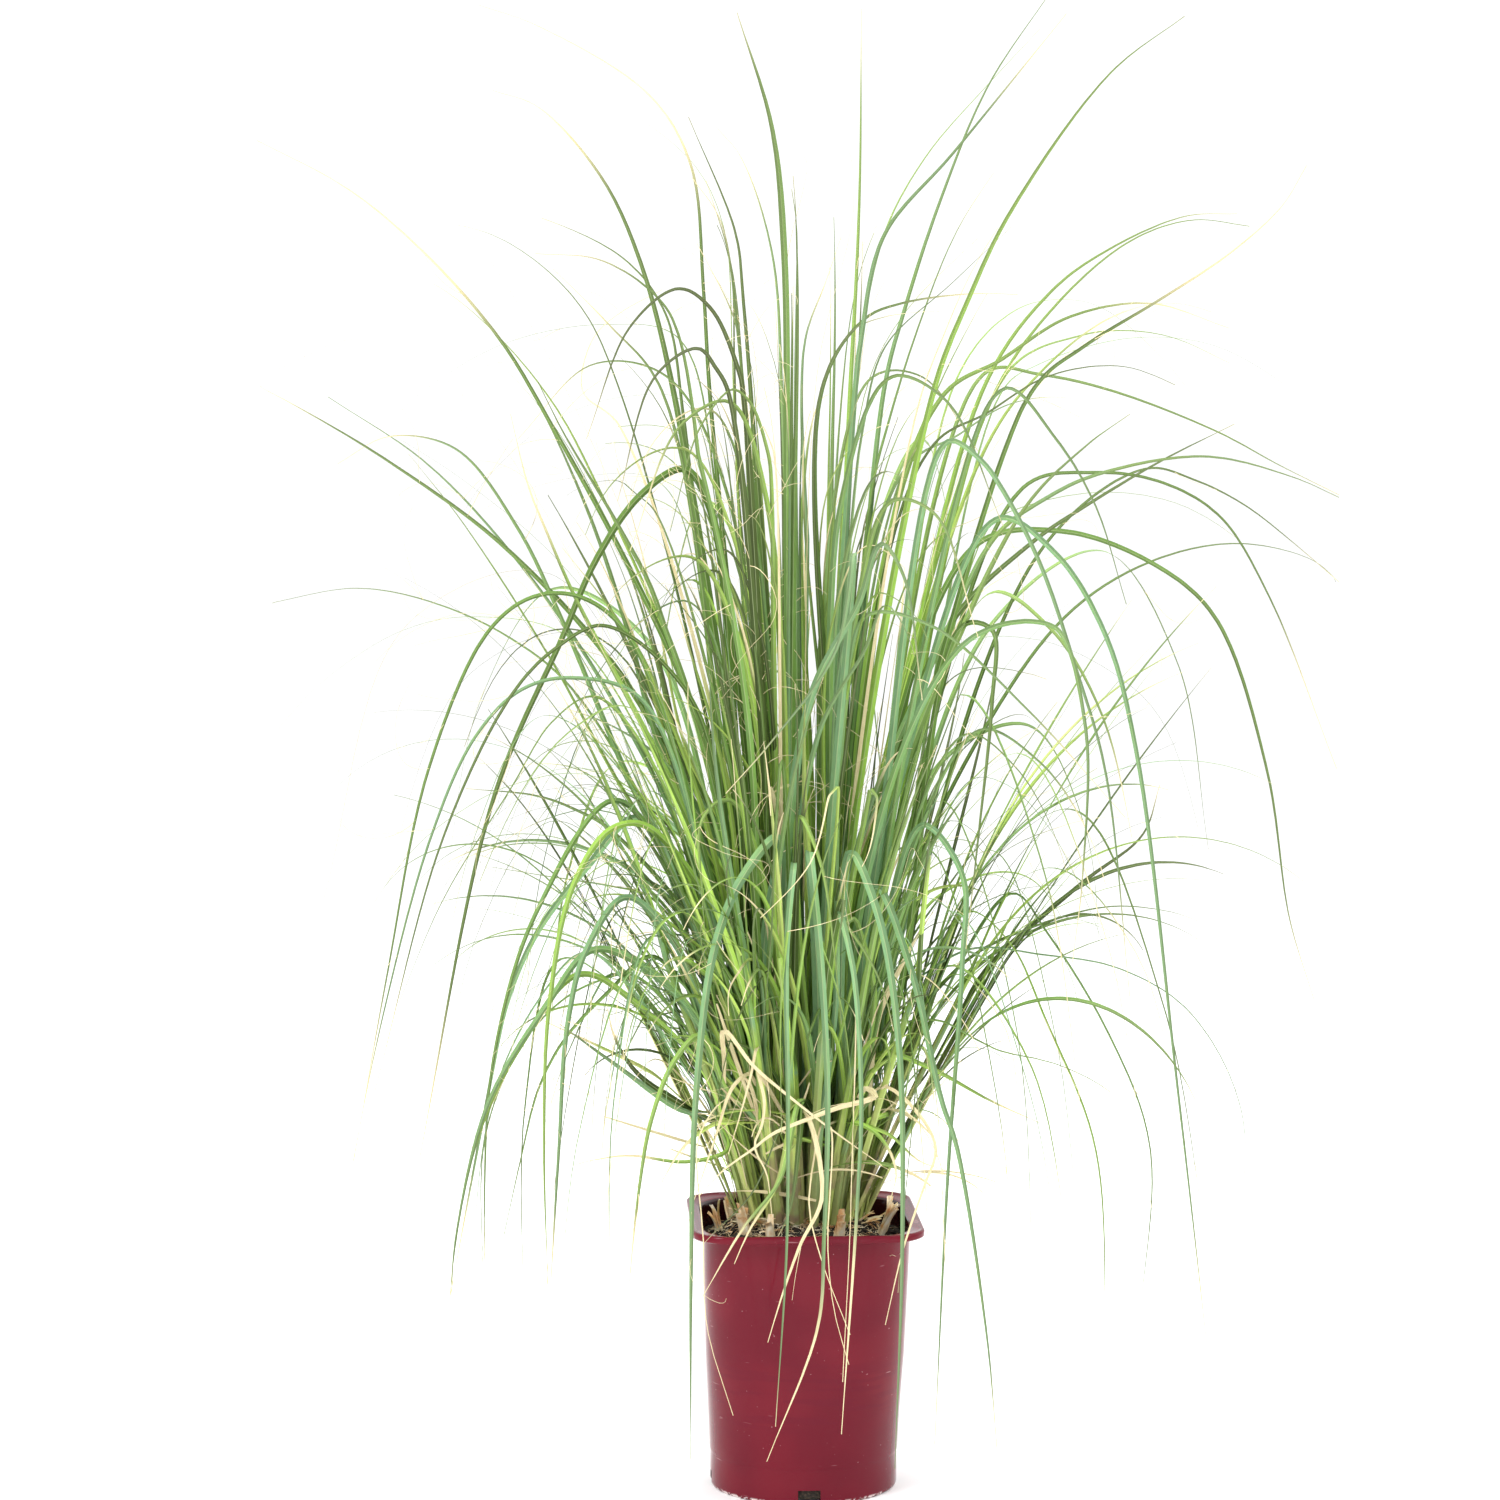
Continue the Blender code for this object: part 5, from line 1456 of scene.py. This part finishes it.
def pot_finish(name, first, second, scratched):
    """Glossy plastic of two close shades with faint flow lines, small scratches and a scuffed foot."""
    finish = Finish(name)
    *_, height = finish.parted("ShaderNodeSeparateXYZ", "Vector", finish.space)
    clouds = finish.speckle(finish.space, 14, 2, 0.5)
    flow = finish.speckle(finish.space, 30, 3, 0.5, (0.5, 0.5, 5.0))
    flow_zone = finish.times(finish.ranged(height, *FLOW_STARTS), finish.ranged(height, *FLOW_ENDS, 1.0, 0.0))
    long_grain = finish.speckle(finish.space, 210, 2, 0.5, (0.12, 0.12, 1.0))
    scratches = finish.ranged(long_grain, 0.72, 0.77, 0.0, 0.45)
    specks = finish.ranged(finish.speckle(finish.space, 430, 1, 0.4), 0.775, 0.82, 0.0, 0.45)
    scuffed = finish.ranged(finish.speckle(finish.space, 260, 3, 0.6), 0.50, 0.58)
    body = finish.mixed("MIX", finish.ranged(clouds, 0.35, 0.65), first, second)
    for amount, over in (
        (finish.times(flow_zone, finish.ranged(flow, 0.5, 0.56, 0.0, 0.5)), FLOW_LINES),
        (finish.worked("MAXIMUM", scratches, specks), scratched),
        (finish.times(finish.ranged(height, *SCUFF_HEIGHT, 1.0, 0.0), scuffed), SCUFFS),
    ):
        body = finish.mixed("MIX", amount, body, over)
    finish.surface("Base Color", body)
    finish.surface("Roughness", finish.ranged(clouds, *NOISE_SPREAD, 0.08, 0.13))
    finish.surface("Specular IOR Level", 0.15)
    finish.raised(flow, 0.12, 0.0006)
    return finish.made


# Compost, from near black to pale grains
COMPOST_SHADES = (
    (0.30, (0.006, 0.005, 0.004)),
    (0.52, (0.022, 0.015, 0.010)),
    (0.64, (0.065, 0.042, 0.027)),
    (0.76, (0.220, 0.160, 0.110)),
)


def compost_finish():
    """Dark crumbly compost with browner and paler grains."""
    finish = Finish("compost")
    grains = finish.speckle(finish.space, 420, 4, 0.65)
    finish.surface("Base Color", finish.ramp(grains, COMPOST_SHADES))
    finish.surface("Roughness", 0.95)
    finish.raised(grains, 0.8, 0.0015)
    return finish.made


# Pot and compost

# The pot's floor inside: its round and its inset in mm, the height in mm up to which the inside is darkened
# as painted shade, and the angle up to which edges are smooth
FLOOR_ROUND = 2
FLOOR_INSET = 1.2
INSIDE_TOP = 219
POT_SMOOTH = math.radians(38)

# The compost's surface in mm: its lumps with the heights and rates of their noise, its slope to the edge,
# the slope of the rise under the crown for its half width, and where all of this fades out
LUMP_SIZE = 16
LUMP_SLICE = 0.3
LUMPS = ((2.6, 1), (1.4, 3.1), (0.7, 7.7))
LEVEL_REACH, LEVEL_SLOPE = 83, 38
MOUND_REACH, MOUND_SLOPE = 1.25, 0.6
FLAT_EDGE, FLAT_FADE = 74, 8

# The compost's walls stand off the pot's, and its rings step inward, all in mm
SOIL_SLACK = 0.2
SOIL_LIFT = 3
SOIL_RINGS = 36
RING_OUT, RING_STEP, RING_LIFT = 0.4, 2.2, 0.3
RING_CORNER, RING_ROUNDS = 3, 1.5
LEAST_CORNER, LEAST_RING, MOST_ROUND = 12, 2, 0.95

# Crumbs: how many, how far out, their sizes in mm, how they vary, stand, are squashed and are dented
CRUMBS = 1100
CRUMB_REACH = 79
CRUMB_SIZES = (1.0, 1.3, 1.7, 2.2, 3.0)
CRUMB_VARIES = (0.7, 1.2)
CRUMB_LIFT = 0.3
CRUMB_WIDE, CRUMB_TALL = (0.7, 1.4), (0.45, 0.9)
CRUMB_SPIN = 3
DENT, DENT_RATE = 0.35, 900

# Root threads: how many, how far out, points, steps and widths in mm, and how they wave and turn
ROOTS = 620
ROOT_REACH = 77
ROOT_EDGE = 79
ROOT_POINTS = (5, 13)
ROOT_LEAST = 3
ROOT_STEP = 3.2
ROOT_WIDTH = (0.3, 0.7)
ROOT_WAVE, ROOT_ARCH, ROOT_LIFT = 0.7, 1.1, 1.2
ROOT_TURN = 0.45

# Lying straws and chips: points of a straw, how high they lie in mm, and a chip's lean and size
LYING_POINTS = 9
LYING_LIFT, CHIP_LIFT = 2, 1
CHIP_LEAN = 1.3
CHIP_LENGTH, CHIP_WIDTH = 5 * MM, 4.5 * MM

# Husks: points, how they curl and roll, how they slim or are torn, and how they are folded
HUSK_POINTS = 9
HUSK_CURL, HUSK_BEND = (-0.2, 0.9), 1.5
HUSK_ROLL = 0.6
HUSK_SLIMS, HUSK_TORN = 0.35, 0.5
HUSK_FOLD, HUSK_SKIN = 0.9, 0.12 * MM

# Cut stubs: nested layers in mm, the husks about their feet, in degrees and mm, and how these lean
STUB_LAYERS = 4
STUB_APART, STUB_SHORTER, STUB_OVER = 1.5, 3, 2
STUB_STANDS = 0.8
STUB_HUSKS = 13
STUB_SPREAD = 28
STUB_RING = (30, 56)
LOOSE_TURN = 0.5
LOOSE_LEAN, LOOSE_LENGTH, LOOSE_WIDTH = (0.8, 1.45), (8, 20), (4, 8)


def hand_over(piece, node=None):
    """Hide the solid that a piece stands for, if one is named, and hang the piece on the root body."""
    if node:
        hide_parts(node)
    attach(piece, "root")


def rounded_ring(half, corner, height):
    """Points of one level of a rounded square, or of a circle where the corner is as large as the half."""
    side = (half - corner) * math.sqrt(2)
    for quarter in range(4):
        middle = math.radians(45 + 90 * quarter) + POT_TURN
        for step in range(CORNER_STEPS):
            angle = math.radians(90 * (quarter + (step + 0.5) / CORNER_STEPS)) + POT_TURN
            yield Vector((
                (side * math.cos(middle) + corner * math.cos(angle)) * MM,
                (side * math.sin(middle) + corner * math.sin(angle)) * MM,
                height * MM,
            ))


def drawn_up(name, levels):
    """A closed form: a disc pulled from level to level, whose last level stays as its top face."""
    bpy.ops.object.select_all(action="DESELECT")
    bpy.ops.mesh.primitive_circle_add(vertices=4 * CORNER_STEPS, radius=levels[0][0] * MM, fill_type="NGON")
    thing = bpy.context.active_object
    thing.name = thing.data.name = name
    bpy.ops.object.mode_set(mode="EDIT")
    mesh = bmesh.from_edit_mesh(thing.data)
    spot = mesh.verts.layers.int.new("spot")
    mesh.verts.ensure_lookup_table()
    for index, vertex in enumerate(mesh.verts):
        vertex[spot] = index
    for number, level in enumerate(levels):
        if number:
            bpy.ops.mesh.extrude_region_move(TRANSFORM_OT_translate={"value": (0, 0, 0)})
            mesh = bmesh.from_edit_mesh(thing.data)
            spot = mesh.verts.layers.int["spot"]
        places = list(rounded_ring(*level))
        for vertex in mesh.verts:
            if vertex.select:
                vertex.co = places[vertex[spot]]
    bmesh.update_edit_mesh(thing.data)
    bpy.ops.mesh.select_all(action="SELECT")
    bpy.ops.mesh.normals_make_consistent(inside=False)
    bpy.ops.object.mode_set(mode="OBJECT")
    bpy.ops.object.shade_smooth_by_angle(angle=POT_SMOOTH)
    return thing


def dressed_pot():
    """The pot: foot band and step, lofted wall, flared rim with its bead, inner wall and floor, and slots."""
    inner = [(half - POT_WALL, corner - POT_WALL, up) for half, corner, up in reversed(POT_BODY)]
    half, corner, _ = inner[-1]
    inner.append((half, corner, POT_FLOOR + FLOOR_ROUND))
    inner.append((half - FLOOR_INSET, corner - FLOOR_INSET, POT_FLOOR))
    thing = drawn_up("nursery_pot", [*POT_FOOT, *POT_BODY, *POT_RIM, *inner])
    for quarter in range(4):
        angle = math.radians(90 * quarter) + POT_TURN
        reach = FOOT_HALF * MM
        bpy.ops.object.select_all(action="DESELECT")
        bpy.ops.mesh.primitive_cube_add(
            size=1,
            location=(reach * math.cos(angle), reach * math.sin(angle), 0),
            rotation=(0, 0, angle),
            scale=(2 * SLOT_DEPTH, SLOT_WIDTH, 2 * SLOT_HEIGHT),
        )
        cutter = bpy.context.active_object
        cut = thing.modifiers.new("drain slot", "BOOLEAN")
        cut.operation = "DIFFERENCE"
        cut.solver = "EXACT"
        cut.object = cutter
        bpy.context.view_layer.objects.active = thing
        bpy.ops.object.modifier_apply(modifier=cut.name)
        bpy.data.objects.remove(cutter, do_unlink=True)
    thing.select_set(True)
    bpy.ops.object.shade_smooth_by_angle(angle=POT_SMOOTH)
    thing.data.materials.append(pot_finish("burgundy plastic", *POT_OUTSIDE))
    # The inside wall takes a near-black copy of the plastic: painted shade for the shade inside the pot
    thing.data.materials.append(pot_finish("soiled inside of the pot", *POT_INSIDE_PAINTED_SHADE))
    for face in thing.data.polygons:
        inward = face.normal.x * face.center.x + face.normal.y * face.center.y < 0
        face.material_index = int(inward and POT_FLOOR < face.center.z / MM < INSIDE_TOP)
    hand_over(thing, "pot")


def lumps(x, y):
    """How far the compost's surface stands above its level at a place, in mm."""
    place = Vector((x / LUMP_SIZE, y / LUMP_SIZE, LUMP_SLICE))
    return sum(height * noise.noise(place * rate) for height, rate in LUMPS)


def surface_height(x, y):
    """The height of the compost's surface at a place in mm."""
    level = (SOIL_TOP - SOIL_EDGE) * smoothstep((LEVEL_REACH - math.hypot(x, y)) / LEVEL_SLOPE)
    from_crown = math.hypot(x, (y - CROWN_BACK / MM) / CROWN_DEPTH) / CROWN_HALF
    mound = CROWN_RISE * smoothstep((MOUND_REACH - from_crown) / MOUND_SLOPE)
    return SOIL_EDGE + float(level + mound) + lumps(x, y)


def soil_walls():
    """The levels of the compost up to its edge, just clear of the pot's wall."""
    clear = POT_WALL + GAP / MM + SOIL_SLACK
    walls = [(half - clear, corner - clear, up) for half, corner, up in POT_BODY if up < SOIL_EDGE]
    half, corner, _ = walls[0]
    return [(half - 1, corner - 1, POT_FLOOR + SOIL_LIFT), *walls]


def soil_rings(half, corner):
    """The rings of the compost's surface, inward from an edge."""
    for step in range(SOIL_RINGS):
        width = half + RING_OUT - RING_STEP * step
        rounding = max(corner - RING_CORNER - RING_ROUNDS * step, LEAST_CORNER)
        if width > LEAST_RING:
            yield width, min(rounding, width * MOST_ROUND), SOIL_EDGE + RING_LIFT


def crumbs(chance):
    """Crumbs of compost that lie on the surface, as one object."""
    mesh = bmesh.new()
    for _ in range(CRUMBS):
        spin, reach = chance.uniform(0, math.tau), CRUMB_REACH * math.sqrt(chance.random())
        x, y = reach * math.cos(spin), reach * math.sin(spin)
        size = chance.choice(CRUMB_SIZES) * chance.uniform(*CRUMB_VARIES)
        made = bmesh.ops.create_icosphere(mesh, subdivisions=1, radius=size * MM)["verts"]
        middle = Vector((x, y, surface_height(x, y) + size * CRUMB_LIFT)) * MM
        squash = Vector([chance.uniform(*span) for span in (CRUMB_WIDE, CRUMB_WIDE, CRUMB_TALL)])
        axis = (chance.random(), chance.random(), chance.random())
        turn = Quaternion(axis, chance.uniform(0, CRUMB_SPIN)).to_matrix()
        for vertex in made:
            dent = noise.noise(vertex.co * DENT_RATE + Vector((x, y, size)))
            vertex.co = turn @ (vertex.co * (1 + DENT * dent) * squash) + middle
    data = bpy.data.meshes.new("crumbs")
    mesh.to_mesh(data)
    mesh.free()
    piece = bpy.data.objects.new("crumbs", data)
    bpy.context.scene.collection.objects.link(piece)
    return piece


def dressed_compost(chance):
    """The compost with its rough surface and crumbs."""
    walls = soil_walls()
    half, corner, _ = walls[-1]
    thing = drawn_up("potting_compost", [*walls, *soil_rings(half, corner)])
    for vertex in thing.data.vertices:
        x, y, z = (value / MM for value in vertex.co)
        if z > SOIL_EDGE:
            inward = float(1 - smoothstep((max(abs(x), abs(y)) - FLAT_EDGE) / FLAT_FADE))
            vertex.co.z += (surface_height(x, y) - SOIL_EDGE) * inward * MM
    bpy.ops.object.select_all(action="DESELECT")
    crumbs(chance).select_set(True)
    thing.select_set(True)
    bpy.context.view_layer.objects.active = thing
    bpy.ops.object.join()
    thing.data.materials.append(compost_finish())
    hand_over(thing, "soil")


def root_threads(chance):
    """Fine dry roots and fibres that lie on the compost, with a few straws and chips."""
    strands = Strands()
    for _ in range(ROOTS):
        spin, reach = chance.uniform(0, math.tau), ROOT_REACH * math.sqrt(chance.random())
        x, y = reach * math.cos(spin), reach * math.sin(spin)
        heading = chance.uniform(0, math.tau)
        points = []
        for step in range(chance.randint(*ROOT_POINTS)):
            if max(abs(x), abs(y)) > ROOT_EDGE:
                break
            arch = math.sin(step * ROOT_WAVE) * ROOT_ARCH + ROOT_LIFT
            points.append((x * MM, y * MM, (surface_height(x, y) + arch) * MM))
            heading += chance.gauss(0, ROOT_TURN)
            x += math.cos(heading) * ROOT_STEP
            y += math.sin(heading) * ROOT_STEP
        if len(points) > ROOT_LEAST:
            thread(strands, np.array(points), chance.uniform(*ROOT_WIDTH) * MM, 1.0, 1.0)
    for start, end, width in LYING_STRAWS:
        places = np.linspace(start, end, LYING_POINTS)
        heights = [surface_height(x, y) + LYING_LIFT for x, y in places]
        thread(strands, np.column_stack([places, heights]) * MM, width * MM, 1.0, 1.0)
    for x, y in CHIPS:
        place = Vector((x, y, surface_height(x, y) + CHIP_LIFT)) * MM
        outward = polar(1, chance.uniform(0, 360)).normalized()
        husk(strands, place, outward, CHIP_LEAN, CHIP_LENGTH, CHIP_WIDTH, chance)
    hand_over(strands.piece("surface_roots", straw_finish()))


def husk(strands, place, outward, lean, length, width, chance, torn=True):
    """A papery piece of dead sheath that curls as it leans out."""
    side = UP.cross(outward)
    share = np.linspace(0, 1, HUSK_POINTS)
    tilt = lean + chance.uniform(*HUSK_CURL) * share ** HUSK_BEND
    moves = np.outer(np.sin(tilt), outward) + np.outer(np.cos(tilt), UP)
    steps = np.cumsum(moves[:-1] * length / (HUSK_POINTS - 1), axis=0)
    path = np.array(place) + np.vstack([[0, 0, 0], steps])
    tangents = np.gradient(path, axis=0)
    tangents /= np.linalg.norm(tangents, axis=1)[:, None]
    roll = chance.uniform(-HUSK_ROLL, HUSK_ROLL)
    turns = [Quaternion(Vector(tangent), roll * float(part)) for tangent, part in zip(tangents, share)]
    across = np.array([turn @ side for turn in turns])
    face = np.cross(tangents, across)
    half = width / 2 * (1 - HUSK_SLIMS * share - (HUSK_TORN * share ** 3 if torn else 0))
    strands.add(path, across, face, half, half * HUSK_FOLD + HUSK_SKIN, BROAD_SECTION, share, 1.0, 1.0)


def dressed_stub(name, distance, degrees, lean, length, width, straw, chance):
    """A cut old shoot of nested sheaths, with papery husks about its foot."""
    strands = Strands()
    outward = polar(1, degrees).normalized()
    foot = crown_place(distance, degrees) - UP * MM
    for layer in range(STUB_LAYERS):
        hand = 1 if layer % 2 else -1
        place = foot + outward * (layer - (STUB_LAYERS - 1) / 2) * STUB_APART * MM
        husk(strands, place, outward * hand, math.radians(lean * hand) * STUB_STANDS,
             (length + STUB_OVER - STUB_SHORTER * layer) * MM, width * MM, chance, torn=False)
    for _ in range(STUB_HUSKS):
        spin = degrees + chance.uniform(-STUB_SPREAD, STUB_SPREAD)
        start = crown_place(chance.uniform(*STUB_RING), spin)
        start.z = (surface_height(start.x / MM, start.y / MM) - 1) * MM
        heading = math.radians(spin) + chance.gauss(0, LOOSE_TURN)
        husk(strands, start, Vector((math.cos(heading), math.sin(heading), 0)), chance.uniform(*LOOSE_LEAN),
             chance.uniform(*LOOSE_LENGTH) * MM, chance.uniform(*LOOSE_WIDTH) * MM, chance)
    hand_over(strands.piece("cut_" + name, straw), name)


# The plant

# Seeds: the pot and what lies in it, the first shoot, and what grows round all of them
POT_SEED = 3
SHOOT_SEED = 100
PLANT_SEED = 7

# Traced blades that no tone is given for, and how their twist goes with their place and tip depth
PLAIN_TONES, PLAIN_DRY = (0.12, 0.66), (0.02, 0.14)
TWIST_BY_PLACE, TWIST_BY_DEPTH = 900, 0.7

# How often crowd leaves are tried, up to where in mm the inner ring reaches, how offshoots crowd, and how
# far a broad one of the thin strands faces the eye
CROWD_TRIES = 60
INNER_RING = 30
OFFSHOOT_CROWDING = 0.6
THIN_FACING = 0.85

# Shoots that fine arcs leave: how far to the side at least, and how far behind the crown's middle at most
SIDED_FROM = 10 * MM
BEHIND_MOST = 15 * MM

# Curls: the share of them to the left, where along a blade they leave it, how they stray, lengths in mm
LEFT_CURLS = 0.65
CURL_PLACE = (0.25, 0.8)
CURL_STRAYS = 0.6
CURL_LENGTH = (40, 150)


def traced_leaves(strands, shoot, chance):
    """A shoot's traced blades, as wide and as turned as the photograph shows them."""
    for index, (width, tip_depth, *_) in enumerate(shoot.blades):
        tone, dry = shoot.tones[index] or (chance.uniform(*PLAIN_TONES), chance.uniform(*PLAIN_DRY))
        twist = TWIST * math.sin(shoot.root.x * TWIST_BY_PLACE + tip_depth * TWIST_BY_DEPTH)
        wider, facing = first_match(DRESSED, shoot.name)
        if tone == STRAW:
            wider = STRAW_SLIM
        leaf(strands, shoot, shoot.outward * shoot.offset(index), shoot.paths[index], width * wider,
             tone, dry, twist, facing=facing, tapers_from=shoot.tapers[index])


def scattered(count, make, gathered, shoots, chance):
    """Leaves made one by one on shoots picked at random, until there are so many."""
    made = 0
    while made < count:
        shoot = chance.choice(shoots)
        made += make(gathered[shoot.name], shoot, chance)


def dressed_shoots():
    """Every shoot with its traced blades and all that grows round them."""
    shoots = [Shoot(name, *described) for name, described in SHOOTS.items()]
    settle(shoots)
    gathered = {}
    for number, shoot in enumerate(shoots):
        chance = random.Random(SHOOT_SEED + number)
        strands = gathered[shoot.name] = Strands()
        traced_leaves(strands, shoot, chance)
        crowd = first_match(CROWDS, shoot.name)
        made = tries = 0
        while made < crowd and tries < CROWD_TRIES:
            made += crowd_leaf(strands, shoot, chance)
            tries += 1
    chance = random.Random(PLANT_SEED)
    outer = [shoot for shoot in shoots if shoot.distance > INNER_RING]
    scattered(LOW_LEAVES, low_leaf, gathered, outer, chance)
    scattered(DEAD_LEAVES, dead_leaf, gathered, outer, chance)
    for _ in range(OFFSHOOTS):
        distance = OFFSHOOT_REACH * chance.random() ** OFFSHOOT_CROWDING
        offshoot(gathered, shoots, distance, chance.uniform(0, 360), chance)
    by_name = {shoot.name: shoot for shoot in shoots}
    for name, width, tip_depth, route, *look in THIN_STRANDS:
        shoot = by_name[name]
        tone, dry = look or (STRAW, 1.0)
        beside = shoot.aside(chance)
        path = cut_short(route_path(shoot.top + beside, tip_depth, route))
        broad = width > BROAD_FROM
        leaf(gathered[name], shoot, beside, path, width, tone, dry, LOOSE_TWIST, broad=broad,
             leaves_at=LOOSE_LEAVING, facing=THIN_FACING if broad else 0.0)
    for hand, count in FINE_ARCS.items():
        sided = [
            shoot for shoot in outer
            if shoot.root.x * hand > SIDED_FROM and shoot.root.y < CROWN_BACK + BEHIND_MOST
        ]
        for _ in range(count):
            shoot = chance.choice(sided)
            fine_arc(gathered[shoot.name], shoot, hand, chance)
    lefts = [shoot for shoot in shoots if "left" in shoot.name]
    for _ in range(CURLS):
        shoot = chance.choice(lefts if chance.random() < LEFT_CURLS else outer)
        path = shoot.paths[chance.randrange(len(shoot.paths))]
        spot = int(len(path) * chance.uniform(*CURL_PLACE))
        heading = Vector(path[min(spot + 1, len(path) - 1)] - path[spot])
        heading += any_way(chance, 1) * heading.length * CURL_STRAYS
        curl(gathered[shoot.name], path[spot], heading, chance, chance.uniform(*CURL_LENGTH) * MM)
    finish = grass_finish()
    for name, strands in gathered.items():
        hand_over(strands.piece(name.replace("shoot_", "grass_"), finish), name)


# The studio: lights by place in metres, size in metres and power in watts
LIGHTS = (
    ("left softbox", (-1.9, -1.7, 2.7), 1.2, 70),
    ("right softbox", (2.5, -0.6, 2.2), 1.2, 26),
    ("overhead", (0.2, 0.5, 3.1), 1.8, 60),
)
LIT_PLACE = Vector((0, 0, 0.55))
WORLD_STRENGTH = 1.14
FLOOR_SIZE = 60
FLOOR_SHADES = ((0.93, 0.93, 0.93), (0.90, 0.90, 0.905))
SENSOR = 36


def aimed(thing, place, target):
    """Stand a light or a camera at a place, turned to a target."""
    thing.location = place
    thing.rotation_euler = (target - Vector(place)).to_track_quat("-Z", "Y").to_euler()
    bpy.context.scene.collection.objects.link(thing)


def studio():
    """Pale floor, white surround and soft lights."""
    bpy.ops.object.select_all(action="DESELECT")
    bpy.ops.mesh.primitive_plane_add(size=FLOOR_SIZE, location=(0, 0, 0))
    floor = bpy.context.active_object
    floor.name = "studio_floor"
    finish = Finish("studio floor")
    grain = finish.speckle(finish.space, 3, 2, 0.5)
    finish.surface("Base Color", finish.mixed("MIX", grain, *FLOOR_SHADES))
    finish.surface("Roughness", 0.7)
    floor.data.materials.append(finish.made)
    world = bpy.data.worlds.new("studio")
    bpy.context.scene.world = world
    world.use_nodes = True
    surround = world.node_tree.nodes["Background"]
    surround.inputs["Color"].default_value = (1, 1, 1, 1)
    surround.inputs["Strength"].default_value = WORLD_STRENGTH
    for name, place, size, power in LIGHTS:
        light = bpy.data.lights.new(name, "AREA")
        light.shape = "SQUARE"
        light.size = size
        light.energy = power
        aimed(bpy.data.objects.new(name, light), place, LIT_PLACE)
    bpy.context.scene.view_settings.view_transform = "Standard"


def camera():
    """The eye that the blades were traced from."""
    lens = bpy.data.cameras.new("camera")
    lens.sensor_width = SENSOR
    lens.lens = SENSOR * LENS_PIXELS / FRAME_PIXELS
    eye = bpy.data.objects.new("camera", lens)
    aimed(eye, EYE, AIM)
    bpy.context.scene.camera = eye


def main():
    """The pot, the compost and all that stands in it, then the studio and the eye."""
    chance = random.Random(POT_SEED)
    dressed_pot()
    dressed_compost(chance)
    root_threads(chance)
    straw = straw_finish()
    for name, measures in STUBS.items():
        dressed_stub(name, *measures, straw, chance)
    dressed_shoots()
    studio()
    camera()


main()
